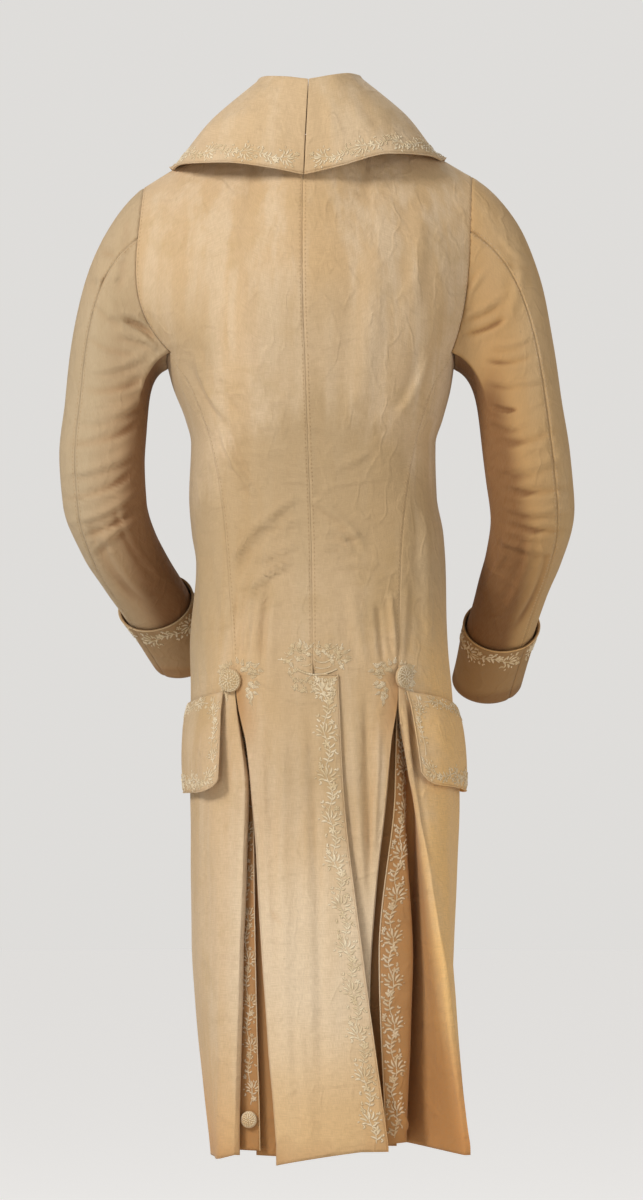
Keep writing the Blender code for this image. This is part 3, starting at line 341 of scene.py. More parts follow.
def cloth(name, grids, wall, flip, material, shape, seams=(), deeps=()):
    """A thin shell on grids that share their edges. Returns the object and the grids as shaped.

    shape(points, normals) gives each point's height. seams gives each grid's distances to a sewn edge, where
    the cloth dips, and deeps each point's darkening, kept as its deep mark: painted shade inside folds, soil
    and painted shade on the sleeves, and soil at the cuffs' edges.
    """
    points = np.concatenate([g.reshape(-1, 3) for g in grids])
    seam = np.full(len(points), 99.0)
    deep = np.zeros(len(points))
    faces, start, marks = [], 0, []
    for k, grid in enumerate(grids):
        rows, columns = grid.shape[:2]
        index = start + np.arange(rows * columns).reshape(rows, columns)
        quads = np.stack((index[:-1, :-1], index[1:, :-1], index[1:, 1:], index[:-1, 1:]), axis=-1)
        quads = quads.reshape(-1, 4)
        faces.append(quads[:, ::-1] if flip else quads)
        marks.append(index)
        if len(seams) > k and seams[k] is not None:
            seam[index.ravel()] = np.broadcast_to(seams[k], (rows, columns)).ravel()
        if len(deeps) > k and deeps[k] is not None:
            deep[index.ravel()] = np.broadcast_to(deeps[k], (rows, columns)).ravel()
        start += rows * columns
    faces = np.concatenate(faces)
    uv = np.concatenate([np.stack((row_length(g), column_length(g)), axis=-1).reshape(-1, 2) for g in grids])
    _, first, index_of = np.unique(np.round(points / 0.01).astype(np.int64), axis=0, return_index=True,
                                   return_inverse=True)
    index_of = index_of.ravel()
    spots = points[first]
    low_seam, most_deep = np.full(len(spots), 99.0), np.zeros(len(spots))
    np.minimum.at(low_seam, index_of, seam)
    np.maximum.at(most_deep, index_of, deep)
    corner = index_of[faces]
    for again in (False, True):
        a, b, c, d = (spots[corner[:, i]] for i in range(4))
        face_way = np.cross(c - a, d - b)
        normals = np.zeros_like(spots)
        for i in range(4):
            np.add.at(normals, corner[:, i], face_way)
        normals /= np.maximum(np.linalg.norm(normals, axis=1, keepdims=True), 1e-9)
        if not again:
            dip = -0.24 * np.exp(-((low_seam / 1.0) ** 2)) + 0.16 * np.exp(-(((low_seam - 4.5) / 2.4) ** 2))
            near_seam = np.exp(-((low_seam / 3.5) ** 2))[:, None]
            outward_way = np.zeros_like(spots)
            for i in range(4):
                np.add.at(outward_way, corner[:, i], spots[corner[:, i]] - (a + b + c + d) / 4)
            outward_way /= np.maximum(np.linalg.norm(outward_way, axis=1, keepdims=True), 1e-6)
            spots = spots + outward_way * 0.13 * (low_seam < 0.02)[:, None]
            spots = spots + normals * (shape(spots, normals)[:, None] * (1 - near_seam) + dip[:, None])
    mesh = bpy.data.meshes.new(name)
    mesh.vertices.add(len(spots))
    mesh.vertices.foreach_set("co", (spots * 0.001).astype(np.float32).ravel())
    mesh.loops.add(corner.size)
    mesh.loops.foreach_set("vertex_index", corner.astype(np.int32).ravel())
    mesh.polygons.add(len(corner))
    mesh.polygons.foreach_set("loop_start", np.arange(0, corner.size, 4, dtype=np.int32))
    mesh.polygons.foreach_set("use_smooth", np.ones(len(corner), bool))
    layer = mesh.uv_layers.new(name="cloth")
    layer.data.foreach_set("uv", (uv[faces.ravel()] * 0.001).astype(np.float32).ravel())
    mark = mesh.attributes.new("deep", "FLOAT", "POINT")
    mark.data.foreach_set("value", most_deep.astype(np.float32))
    mesh.update(calc_edges=True)
    mesh.materials.append(material)
    thing = bpy.data.objects.new(name, mesh)
    bpy.context.collection.objects.link(thing)
    layer = thing.modifiers.new("wall", "SOLIDIFY")
    layer.thickness = wall * 0.001
    layer.offset = -1.0
    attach(thing, "root")
    shaped = [spots[index_of[index]] for index in marks]
    return thing, shaped


cloth_look = cotton("cotton")
sleeve_looks = {
    "left": cotton("left sleeve cotton", 0.12, 0.55, (0.500, 0.395, 0.255, 1), 0.06),
    "right": cotton("right sleeve cotton", 0.04, 0.66, (0.530, 0.330, 0.140, 1), 0.06),
}
trim_look = cotton("trim cotton", 0.04)
cuff_looks = {
    "left": cotton("left cuff cotton", 0.50, 0.60, (0.420, 0.240, 0.120, 1), 0.06),
    "right": cotton("right cuff cotton", 0.50, 0.75, (0.330, 0.160, 0.058, 1), 0.06),
}
shaped = {}

# Backs: each is one length of cloth from neck to hem, shaped in the seams, with its lap at the vent and its
# half of the side pleats. The creases follow the photo: arched over the small of the back and from the hips.


def table(columns, *rows):
    """A short table as one array for each named column."""
    return dict(zip(columns.split(), np.array(rows, float).T))


SEAM_GAP = 0.06
NAPE_GAP = 0.06
SECTION_POWER = 2.3  # 2 is an ellipse, more is squarer
# Heights of the body
UNDERARM_Z = -235.0
HIP_Z = -572.0
SIDES = {"left": -1, "right": 1}
# The coat's level sections: where its outline stands at each side, at the back and at the front
BODY = table(
    "z left right back front",
    (-235, -155, 151, -118, 116),
    (-270, -146, 146, -115, 115),
    (-305, -133, 137, -110, 112),
    (-330, -127, 130, -105, 109),
    (-385, -129, 131, -97, 104),
    (-425, -126, 138, -96, 103),
    (-455, -122, 140, -98, 104),
    (-545, -128, 143, -106, 108),
    (-588, -127, 147, -109, 110),
    (-690, -128, 155, -115, 115),
    (-850, -127, 150, -119, 119),
    (-950, -120, 147, -122, 121),
    (-1075, -107, 146, -126, 123),
)
# Seams of the body: centre back, each side-back seam, and how far each front edge stands from the middle
SEAMS = table(
    "z centre_back left_back right_back front_edge",
    (-50, -9, -148, 146, 4),
    (-235, -7, -148, 146, 5),
    (-270, -6, -128, 128, 5),
    (-330, -4, -106, 109, 6),
    (-385, -2, -95, 99, 7),
    (-455, 0, -88, 93, 9),
    (-588, 1, -80, 90, 22),
    (-760, 3, -70, 90, 48),
    (-920, 5, -70, 90, 66),
    (-1075, 8, -70, 90, 80),
)
# Points of the shoulders
NAPE = np.array((-9.0, -64.0, -8.0))
NECK_POINT = {"left": np.array((-57.0, -6.0, 0.0)), "right": np.array((55.0, -6.0, 2.0))}
SHOULDER_POINT = {"left": np.array((-177.0, 6.0, -62.0)), "right": np.array((168.0, 6.0, -50.0))}
NECK_SHARE = 0.36  # share of the back's top edge that is neckline
# Fold lines of the skirts: x and y at four heights, then the height of the hem there. A line that starts at
# the side-back seam or on the body takes its place at the hip from them.
FOLD_HEIGHTS = (-572.0, -690.0, -860.0, -1060.0)
FRONT_FOLDS = {
    "left": {
        "turn": (-104, -80, -104, -88, -104, -95, -99, -98, -1076),
        "roll": (-80, -88, -70, -106, -75, -112, -81, -118, -1071),
        "valley": (-92, -76, -87, -84, -90, -86, -93, -86, -1066),
        "ridge": (-83, -67, -72, -88, -77, -97, -82, -101, -1066),
        "edge": (-79, -72, -62, -92, -59, -105, -54, -112, -1067),
    },
    "right": {
        "turn": (130, -76, 138, -80, 146, -98, 161, -110, -1066),
        "roll": (90, -94, 109, -108, 136, -124, 165, -137, -1070),
        "valley": (103, -81, 107, -84, 104, -78, 100, -74, -1060),
        "ridge": (93, -71, 95, -96, 104, -108, 98, -113, -1058),
        "edge": (89, -79, 87, -104, 70, -118, 77, -124, -1060),
    },
}
BACK_FOLDS = {
    "left": {
        "lap": (27, -111, 32.5, -120, 52, -128, 79, -134, -1067),
        "roll": (-80, -89, -62, -110, -51.5, -122, -36, -134, -1081),
        "valley": (-66, -80, -40, -103, -30, -112, -12, -120, -1074),
        "ridge": (-74, -73, -52, -92, -58, -98, -56, -102, -1072),
    },
    "right": {
        "lap": (-22, -107, -18, -111, 8, -113, 26, -113, -1064),
        "roll": (90, -94, 78, -112, 61, -118, 56, -116, -1066),
        "valley": (78, -84, 58, -102, 38, -106, 34, -104, -1062),
        "ridge": (84, -76, 86, -97, 81, -107, 86, -109, -1062),
    },
}
FOLD_TUCK = 8.0  # how deep a fold turns before it runs on
ARMHOLE_BULGE = {"left": 22.0, "right": 8.0}
PLEAT_PARTS = 8


def smooth(knots, values, at):
    """Cubic curve through the values that never overshoots them. Knots may run up or down."""
    knots, values, at = (np.asarray(a, float) for a in (knots, values, at))
    if knots[0] > knots[-1]:
        knots, values = knots[::-1], values[::-1]
    step = np.diff(knots)
    rise = np.diff(values) / step
    slope = np.concatenate((rise[:1], np.zeros(len(rise) - 1), rise[-1:]))
    same = rise[:-1] * rise[1:] > 0
    slope[1:-1][same] = 2 * rise[:-1][same] * rise[1:][same] / (rise[:-1] + rise[1:])[same]
    at = np.clip(at, knots[0], knots[-1])
    k = np.clip(np.searchsorted(knots, at, side="right") - 1, 0, len(step) - 1)
    u = (at - knots[k]) / step[k]
    return (
        values[k] * (1 + 2 * u) * (1 - u) ** 2
        + values[k + 1] * u * u * (3 - 2 * u)
        + step[k] * (slope[k] * u * (1 - u) ** 2 + slope[k + 1] * u * u * (u - 1))
    )


def read(tab, name, z):
    """A table's column at height z."""
    return smooth(tab["z"], tab[name], z)


def bridge(start, start_way, end, end_way, t):
    """Curves from start to end that leave and arrive along the two ways. t runs down the rows."""
    t = np.asarray(t, float)[:, None, None]
    return (
        start * (1 + 2 * t) * (1 - t) ** 2
        + end * t * t * (3 - 2 * t)
        + start_way * t * (1 - t) ** 2
        + end_way * t * t * (t - 1)
    )


def section(z, angle):
    """A point of the body's level section. The angle is 0 at the back and grows towards the right.

    A squared ellipse: half the width times the sine, and the depth times the cosine, each sine and cosine
    raised to 2 over the section's power, with a depth of its own at the back and at the front.
    """
    left, right = read(BODY, "left", z), read(BODY, "right", z)
    power = 2 / SECTION_POWER
    sine, cosine = np.sin(angle), np.cos(angle)
    x = (left + right) / 2 + (right - left) / 2 * np.sign(sine) * np.abs(sine) ** power
    depth = np.where(cosine > 0, read(BODY, "back", z), read(BODY, "front", z))
    return np.stack(np.broadcast_arrays(x, depth * np.abs(cosine) ** power, z), axis=-1)


def angle_at(z, x):
    """The angle at which the back half of the section stands at x."""
    left, right = read(BODY, "left", z), read(BODY, "right", z)
    share = (x - (left + right) / 2) / ((right - left) / 2)
    return np.sign(share) * np.arcsin(np.clip(np.abs(share), 0, 0.985) ** (SECTION_POWER / 2))


def seam_angle(side, z, inset):
    """The side-back seam's angle, moved by half the seam's gap towards the back or the front."""
    turn = SIDES[side] * SEAM_GAP / 2 / 95
    return angle_at(z, read(SEAMS, side + "_back", z)) + inset * turn


def back_top(side, share):
    """The back's top edge: neckline from the nape to the neck point, then the shoulder seam."""
    u = np.clip(share / NECK_SHARE, 0, 1)[:, None] * math.pi / 2
    neck_point, shoulder = NECK_POINT[side], SHOULDER_POINT[side]
    neck = NAPE + (neck_point - NAPE) * np.concatenate((np.sin(u), 1 - np.cos(u), 1 - np.cos(u)), axis=-1)
    v = np.clip((share - NECK_SHARE) / (1 - NECK_SHARE), 0, 1)[:, None]
    seam = neck_point + (shoulder - neck_point) * v
    seam[:, 2] += 5 * np.sin(math.pi * v[:, 0])
    edge = np.where((share < NECK_SHARE)[:, None], neck, seam)
    edge[:, 0] += SIDES[side] * NAPE_GAP * np.clip(1 - share / NECK_SHARE, 0, 1)
    edge[:, 1] -= 1.3 * SEAM_GAP * u[:, 0]
    return edge


def back_yoke(side, share, down):
    """The back above the underarm: share runs from centre back to armhole, down from top to underarm.

    Cubic curves from the neckline and the shoulder seam to the underarm's section. They leave along the
    shoulder's slope, arrive along the body's, and stand out beside the armhole.
    """
    z = np.full_like(share, UNDERARM_Z)
    centre = angle_at(z, read(SEAMS, "centre_back", z) + SIDES[side] * SEAM_GAP / 2)
    angle = centre + (seam_angle(side, z, -1) - centre) * share
    foot = section(z, angle)
    rise = (foot - section(z - 20, angle)) / 20
    top = back_top(side, share)
    v = np.clip((share - NECK_SHARE) / (1 - NECK_SHARE), 0, 1)
    u = np.clip(share / NECK_SHARE, 0, 1)
    lean = 0.45 + 0.53 * u**2 + 0.02 * v
    way = np.stack((0 * lean, lean, np.sqrt(1.001 - lean**2)), axis=-1)
    length = np.linalg.norm(top - foot, axis=-1)[:, None]
    point = bridge(top, -way * length * (0.6 + 0.3 * share[:, None]), foot, -rise * length, down)
    point[..., 0] += armhole_bulge(side, share, down)
    return point


def armhole_bulge(side, near, down):
    """The cloth stands out beside the armhole. near is 1 at its edge.

    The bulge times near squared times the sine of half a turn by down squared.
    """
    return SIDES[side] * ARMHOLE_BULGE[side] * near**2 * np.sin(math.pi * np.asarray(down)[:, None] ** 2)


def back_torso(side, z, share):
    """The back between underarm and hip: the body's section, from the centre back to the side-back seam."""
    centre = angle_at(z, read(SEAMS, "centre_back", z) + SIDES[side] * SEAM_GAP / 2)
    point = section(z, centre + (seam_angle(side, z, -1) - centre) * share)
    point[..., 1] += lap_shift(side, z, share)
    return point


def lap_shift(side, z, share):
    """Above the vent the two backs part in depth, so that the left can lap over the right."""
    near = ease((HIP_Z + 16 - z) / 14) * (1 - ease(share * 2.2))
    return near * (-1.3 if side == "left" else 1.5)


def fold_point(folds, name, down):
    """A fold line's points for each share of the way from the hip to the hem."""
    hem_z = folds[name][8]
    z = HIP_Z + (hem_z - HIP_Z) * down
    values = np.array(folds[name][:8], float).reshape(4, 2)
    return np.stack([smooth(FOLD_HEIGHTS, values[:, i], z) for i in (0, 1)] + [z], axis=-1)


def spline(points, parts):
    """Rows of points joined by a smooth curve, each stretch cut into parts."""
    before = np.concatenate((2 * points[:, :1] - points[:, 1:2], points[:, :-1]), axis=1)
    after = np.concatenate((points[:, 1:], 2 * points[:, -1:] - points[:, -2:-1]), axis=1)
    way = (after - before) * 0.40
    size = np.linalg.norm(way, axis=-1, keepdims=True)
    out = [points[:, :1]]
    for i in range(points.shape[1] - 1):
        u = np.linspace(0, 1, parts + 1)[1:, None]
        a, b = points[:, i : i + 1], points[:, i + 1 : i + 2]
        chord = np.linalg.norm(b - a, axis=-1, keepdims=True)
        leave = way[:, i : i + 1] * np.minimum(1, 1.3 * chord / size[:, i : i + 1])
        reach = way[:, i + 1 : i + 2] * np.minimum(1, 1.3 * chord / size[:, i + 1 : i + 2])
        out.append(
            a * (1 + 2 * u) * (1 - u) ** 2
            + b * u * u * (3 - 2 * u)
            + leave * u * (1 - u) ** 2
            + reach * u * u * (u - 1)
        )
    return np.concatenate(out, axis=1)


def roll_at(side, folds, down):
    """The roll beside the side pleats. It leaves the side-back seam just below the hip."""
    roll = fold_point(folds, "roll", down)
    z = roll[:, 2]
    inset = 1 if folds is FRONT_FOLDS[side] else -1
    seam = section(z, seam_angle(side, z, inset))
    change = ease(down * 7)[:, None]
    return seam + (roll - seam) * change


def back_skirt(side, down, share):
    """The back's skirt. share -1 to 0 is its lap at the vent, 0 to 1 from the middle to its roll.

    The body's section at each height, moved out by as much as the fold lines of the lap and the roll stand
    off it, mixed by how far a point lies from the lap to the roll.
    """
    folds = BACK_FOLDS[side]
    lap, roll = fold_point(folds, "lap", down), roll_at(side, folds, down)
    hem_z = folds["lap"][8] + (folds["roll"][8] - folds["lap"][8]) * np.clip(share, 0, 1)
    z = HIP_Z + (hem_z - HIP_Z) * down[:, None]
    hip = np.full_like(share, HIP_Z)
    hip_seam = float(read(SEAMS, "centre_back", HIP_Z)) + SIDES[side] * SEAM_GAP / 2
    lap_share = (hip_seam - lap[0, 0]) / (roll[0, 0] - lap[0, 0])
    middle = lap[:, :1] + (roll[:, :1] - lap[:, :1]) * lap_share
    hip_middle = angle_at(hip, hip_seam)
    hip_x = section(hip, hip_middle + (seam_angle(side, hip, -1) - hip_middle) * np.clip(share, 0, 1))[:, 0]
    part = (hip_x - hip_x[share >= 0][0]) / (hip_x[-1] - hip_x[share >= 0][0])
    x = middle + (roll[:, :1] - middle) * part
    x = np.where(share < 0, middle + (lap[:, :1] - middle) * -share, x)
    base = section(z, angle_at(z, x))
    lap_out = (lap - section(lap[:, 2], angle_at(lap[:, 2], lap[:, 0])))[:, 1:2]
    roll_out = (roll - section(roll[:, 2], angle_at(roll[:, 2], roll[:, 0])))[:, 1:2]
    far = (x - lap[:, :1]) / (roll[:, :1] - lap[:, :1])
    change = ease(down * 5)[:, None]
    y = base[..., 1] + (lap_out + (roll_out - lap_out) * far) * np.maximum(change, far**6)
    y += lap_shift(side, hip, share) * (1 - change)
    return np.stack((x, y, z), axis=-1)


def pleats(side, folds, down, roll):
    """Cloth folded under from a roll: in to a valley, out again to a ridge and, on a front, to its edge.

    At each height one smooth curve through the fold lines, with a point tucked in behind the roll and one
    beyond the valley.
    """
    outwards = SIDES[side]
    valley = fold_point(folds, "valley", down)
    change = ease(down * 4)[:, None]
    inwards = np.zeros_like(roll) + (0.0, 1.0, 0.0)
    under = inwards.copy()
    if "edge" in folds:
        way = (roll - fold_point(folds, "turn", down)) * (1, 1, 0)
        way /= np.linalg.norm(way, axis=-1, keepdims=True)
        inwards = np.stack((way[:, 1] * outwards, -way[:, 0] * outwards, 0 * way[:, 0]), axis=-1)
        if outwards > 0:
            under += change * (-1.0, -1.0, 0.0)
        at_hip = np.array((outwards * 0.10, 0.99, 0.0))
    else:
        at_hip = np.array((-outwards * 0.42, 0.91, 0.0))
    tuck = roll + FOLD_TUCK * (at_hip + (inwards - at_hip) * change)
    points = [roll, tuck, valley, valley + FOLD_TUCK * under]
    points += [fold_point(folds, name, down) for name in ("ridge", "edge") if name in folds]
    if "edge" not in folds:
        points.append(points[-1] + (outwards * 2, FOLD_TUCK, 0))
    return spline(np.stack(points, axis=1), PLEAT_PARTS)


# Creases: both ends in picture pixels, bow and half width in pixels, and height in mm
back_creases = (
    (233, 570, 299, 498, -9, 5.0, 1.5),
    (299, 498, 366, 552, -9, 5.0, 1.3),
    (238, 582, 300, 512, -8, 4.0, -1.1),
    (258, 566, 300, 546, -3, 2.6, 1.5),
    (250, 592, 296, 562, -3, 2.8, 1.4),
    (262, 577, 298, 557, -2, 2.4, -1.0),
    (236, 566, 262, 520, -4, 3.0, 1.2),
    (262, 530, 304, 524, -3, 2.8, 1.0),
    (246, 604, 276, 584, -2, 2.6, -0.9),
    (318, 548, 346, 552, -3, 2.6, 1.2),
    (334, 530, 352, 552, -2, 2.6, 1.0),
    (322, 572, 378, 566, -3, 3.0, 0.9),
    (226, 462, 248, 476, 2, 2.8, 0.9),
    (236, 484, 262, 505, 2, 2.8, -0.9),
    (330, 470, 372, 452, 3, 3.2, 0.8),
    (300, 420, 330, 436, 2, 3.0, 0.7),
    (322, 536, 368, 540, -3, 2.6, 1.1),
    (319, 558, 360, 553, -2, 2.4, 0.9),
    (222, 430, 256, 492, 5, 4.0, 1.2),
    (228, 425, 266, 500, 6, 4.5, -1.0),
    (258, 572, 246, 664, 3, 5.0, 1.6),
    (270, 580, 262, 664, 2, 5.0, -1.4),
    (276, 588, 272, 700, 3, 7.0, 0.9),
    (238, 590, 232, 660, 0, 3.5, -0.9),
    (390, 590, 398, 660, 2, 4.0, 1.3),
    (378, 600, 384, 668, 1, 5.0, -1.1),
    (352, 585, 366, 668, 2, 8.0, 0.8),
    (240, 250, 262, 420, 6, 16.0, 1.2),
    (372, 240, 352, 430, -6, 16.0, 1.3),
    (196, 352, 228, 420, 5, 6.0, 1.3),
    (206, 350, 244, 424, 7, 6.0, -1.2),
    (428, 350, 396, 420, -5, 6.0, 1.1),
    (200, 210, 216, 330, 4, 10.0, 0.9),
    (418, 205, 408, 320, -4, 10.0, 0.9),
    (283, 690, 291, 1120, 3, 9.0, 1.1),
    (309, 690, 322, 1130, -3, 8.0, -0.9),
    (262, 720, 276, 1000, 2, 5.0, 0.9),
    (270, 905, 286, 925, 2, 3.0, -1.0),
    (352, 700, 362, 880, 2, 7.0, 1.4),
    (366, 690, 370, 900, 1, 5.0, -1.3),
    (378, 720, 372, 860, -1, 4.0, 1.0),
    (300, 1010, 312, 1140, 2, 6.0, 0.8),
)
for side in SIDES:
    share = spaced(46)
    yoke = back_yoke(side, share, np.linspace(0, 1, 52))
    levels = np.linspace(UNDERARM_Z, HIP_Z, 84)[:, None]
    torso = back_torso(side, levels + 0 * share, share)
    yoke[-1] = torso[0]
    skirt_down = np.linspace(0, 1, 132) ** 1.06
    skirt = back_skirt(side, skirt_down, np.concatenate((np.linspace(-1, 0, 13)[:-1], share)))
    skirt[0, 12:] = torso[-1]
    folded = pleats(side, BACK_FOLDS[side], skirt_down, skirt[:, -1])

    def sewn(grid):
        """Distance to the nearer of a grid's first and last columns."""
        length = row_length(grid)
        return np.minimum(length, length[:, -1:] - length)

    seams = [sewn(yoke), sewn(torso), np.full(skirt.shape[:2], 99.0), None]
    roll_near = (row_length(skirt)[:, -1:] - row_length(skirt)) / 16
    # Painted shade: brown just below the hip where the cloth turns into its roll, and brown-orange the deeper
    # it lies inside the pleat.
    head = np.exp(-(roll_near**2)) * np.exp(-(((skirt_down - 0.05) / 0.09) ** 2))[:, None] * 0.75
    into = np.clip(row_length(folded) / 22, 0, 1) * ease(skirt_down * 6)[:, None]
    thing, shaped["back_" + side] = cloth(
        "back_cloth_" + side, [yoke, torso, skirt, folded], 1.3, side == "left", cloth_look,
        lambda p, n: 2.7 * creased(p, n, back_creases, -1) + rumpled(p, 0.5), seams, [None, None, head, into])
    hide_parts("back_" + side)

# Fronts: each runs from the shoulder round the side to the cut-away front edge, and carries the deep side
# pleats whose embroidered edge shows beside the back's pleat. Its folds hang from the hip button.
FRONT_NECK = np.array((4.0, 74.0, -82.0))
FRONT_NECK_SHARE = 0.48
ARMHOLE_FRONT_ANGLE = math.radians(118)
ARMHOLE_DIP = 16.0
ROUND_SHARES = (0.62, 0.81, 1.0)  # where the front's skirt follows the body's round again


def front_edge_angle(side, z):
    """The angle of a front edge, just short of the middle front."""
    left, right = read(BODY, "left", z), read(BODY, "right", z)
    x = SIDES[side] * read(SEAMS, "front_edge", z)
    share = np.abs(x - (left + right) / 2) / ((right - left) / 2)
    lean = np.arcsin(np.clip(share, 0, 1) ** (SECTION_POWER / 2))
    over = np.sign(x - (left + right) / 2) != SIDES[side]
    return SIDES[side] * (math.pi - np.where(over, -lean, lean))


def front_top(side, share):
    """The front's top edge: the shoulder seam from the armhole to the neck point, then the neckline."""
    u = np.clip((share - (1 - FRONT_NECK_SHARE)) / FRONT_NECK_SHARE, 0, 1)[:, None] * math.pi / 2
    neck_point, shoulder = NECK_POINT[side], SHOULDER_POINT[side]
    pit = FRONT_NECK * (SIDES[side], 1, 1)
    drop = (1 - np.cos(u) + u / (math.pi / 2)) / 2
    neck = neck_point + (pit - neck_point) * np.concatenate((1 - np.cos(u), np.sin(u), drop), axis=-1)
    v = np.clip(share / (1 - FRONT_NECK_SHARE), 0, 1)[:, None]
    seam = shoulder + (neck_point - shoulder) * v
    seam[:, 2] += 5 * np.sin(math.pi * v[:, 0])
    edge = np.where((u[:, :1] > 0), neck, seam)
    edge[:, 1] += 1.3 * SEAM_GAP * (1 - u[:, 0] / (math.pi / 2))
    return edge


def front_yoke(side, share, down):
    """The front above the underarm. share runs from the armhole to the front edge.

    Cubic curves, as on the back, from the shoulder seam and the neckline to the underarm's section.
    """
    z = np.full_like(share, UNDERARM_Z)
    start = SIDES[side] * ARMHOLE_FRONT_ANGLE
    angle = start + (front_edge_angle(side, z) - start) * share
    foot = section(z, angle)
    rise = (foot - section(z - 20, angle)) / 20
    top = front_top(side, share)
    u = np.clip((share - (1 - FRONT_NECK_SHARE)) / FRONT_NECK_SHARE, 0, 1)
    lean = 1 - 0.75 * ease(u)
    way = np.stack((0 * lean, -lean, np.sqrt(1.001 - lean**2)), axis=-1)
    length = np.linalg.norm(top - foot, axis=-1)[:, None]
    point = bridge(top, -way * length * 0.6, foot, -rise * length, down)
    point[..., 0] += armhole_bulge(side, 1 - share, down)
    return point


def under_arm(side, z, share):
    """Below the armhole, from the side-back seam to the armhole's front: the body's section.

    Its top rows dip under the arm by the sine squared of half a turn by share.
    """
    dip = ARMHOLE_DIP * ease((z + 330) / (330 + UNDERARM_Z)) * np.sin(math.pi * share) ** 2
    start = seam_angle(side, z, 1)
    return section(z - dip, start + (SIDES[side] * ARMHOLE_FRONT_ANGLE - start) * share)


def front_torso(side, z, share):
    """The front between underarm and hip: the body's section, from the armhole's front to the front edge."""
    start = SIDES[side] * ARMHOLE_FRONT_ANGLE
    return section(z, start + (front_edge_angle(side, z) - start) * share)


def along(points, share):
    """Rows of points read at shares of their length."""
    length = np.linalg.norm(np.diff(points, axis=1), axis=-1)
    out = np.empty((len(points), len(share), 3))
    for row, (line, step) in enumerate(zip(points, length)):
        reach = np.concatenate(((0.0,), np.cumsum(step))) / step.sum()
        for i in range(3):
            out[row, :, i] = np.interp(share, reach, line[:, i])
    return out


def front_skirt(side, down, share):
    """The front's skirt from its roll at the side pleats (share 0) to the armhole's front line (share 1).

    At the hip it is the body's section. Further down it changes smoothly to a curve through the roll, the
    turn beside it and three points of the section.
    """
    folds = FRONT_FOLDS[side]
    roll, turn = roll_at(side, folds, down), fold_point(folds, "turn", down)
    z = HIP_Z + (folds["turn"][8] - HIP_Z) * down
    start = SIDES[side] * ARMHOLE_FRONT_ANGLE
    rounds = [section(z, start * part) for part in ROUND_SHARES]
    path = along(spline(np.stack([roll, turn] + rounds, axis=1), 8), share)
    plain_start = seam_angle(side, z, 1)[:, None]
    plain = section(z[:, None] + 0 * share, plain_start + (start - plain_start) * share)
    change = ease(down * 4)[:, None, None]
    return plain + (path - plain) * change


def front_flap(side, down, share):
    """The front's skirt from the armhole's front line to its edge, which is cut away towards the hem.

    It is the body's section between two angles, of which the edge's follows the table of seams.
    """
    z = (HIP_Z + (FRONT_FOLDS[side]["turn"][8] - HIP_Z) * down)[:, None] + 0 * share
    start = SIDES[side] * ARMHOLE_FRONT_ANGLE
    return section(z, start + (front_edge_angle(side, z) - start) * share)


front_creases_behind = (
    (238, 700, 236, 1140, 5, 5.0, 1.2),
    (222, 800, 226, 1140, 2, 6.0, 1.0),
    (206, 800, 214, 1130, 1, 6.0, -0.8),
    (199, 520, 204, 660, 0, 5.0, 0.8),
    (214, 575, 222, 660, 1, 4.0, -1.0),
    (412, 580, 406, 662, -1, 4.0, -1.0),
    (424, 500, 430, 664, 1, 7.0, 1.0),
    (404, 700, 416, 800, 3, 3.5, 1.4),
    (410, 705, 432, 860, 4, 4.0, -1.3),
    (440, 930, 462, 1120, 2, 5.0, 1.2),
    (426, 1040, 440, 1130, 1, 5.0, -1.2),
    (398, 1090, 410, 1130, 2, 3.0, 1.3),
    (388, 1080, 402, 1124, 2, 2.6, -1.1),
)
front_creases = (
    (180, 260, 250, 330, 6, 7.0, 1.4),
    (440, 262, 380, 330, -6, 7.0, 1.3),
    (205, 520, 280, 470, -6, 6.0, 1.3),
    (430, 520, 350, 468, 7, 6.0, 1.4),
    (200, 560, 270, 500, -6, 5.0, -1.1),
    (438, 555, 360, 500, 6, 5.0, -1.0),
    (240, 700, 232, 1120, 4, 10.0, 1.6),
    (266, 690, 262, 1100, 3, 8.0, -1.2),
    (390, 700, 400, 1120, -4, 10.0, 1.5),
    (368, 690, 370, 1100, 3, 8.0, -1.2),
    (215, 230, 226, 400, 3, 12.0, 1.0),
    (408, 226, 400, 410, -3, 12.0, 1.0),
)
for side in SIDES:
    share, under_share = spaced(40), spaced(40)
    yoke = front_yoke(side, share, np.linspace(0, 1, 52))
    levels = np.linspace(UNDERARM_Z, HIP_Z, 84)[:, None]
    torso = front_torso(side, levels + 0 * share, share)
    yoke[-1] = torso[0]
    under = under_arm(side, levels + 0 * under_share, under_share)
    torso[:, 0] = under[:, -1]
    yoke[-1, 0] = under[0, -1]
    skirt = front_skirt(side, skirt_down, under_share)
    skirt[0] = under[-1]
    flap = front_flap(side, skirt_down, share)
    flap[:, 0] = skirt[:, -1]
    flap[0] = torso[-1]
    folded = pleats(side, FRONT_FOLDS[side], skirt_down, skirt[:, 0])[:, ::-1]
    seams = [row_length(yoke), None, row_length(under), None, None, None]
    roll_side = row_length(folded)[:, -1:] - row_length(folded)
    # Painted shade: brown-orange the deeper the cloth lies inside the pleat.
    into = np.clip(roll_side / 22, 0, 1) * ease(skirt_down * 6)[:, None]
    thing, shaped["front_" + side] = cloth(
        "front_cloth_" + side, [yoke, torso, under, skirt, flap, folded], 1.3, side == "left", cloth_look,
        lambda p, n: (2.3 * creased(p, n, front_creases_behind, -1) + 1.6 * creased(p, n, front_creases, 1)
                      + rumpled(p, 0.5)),
        seams, [None, None, None, None, None, into])
    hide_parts("front_" + side)

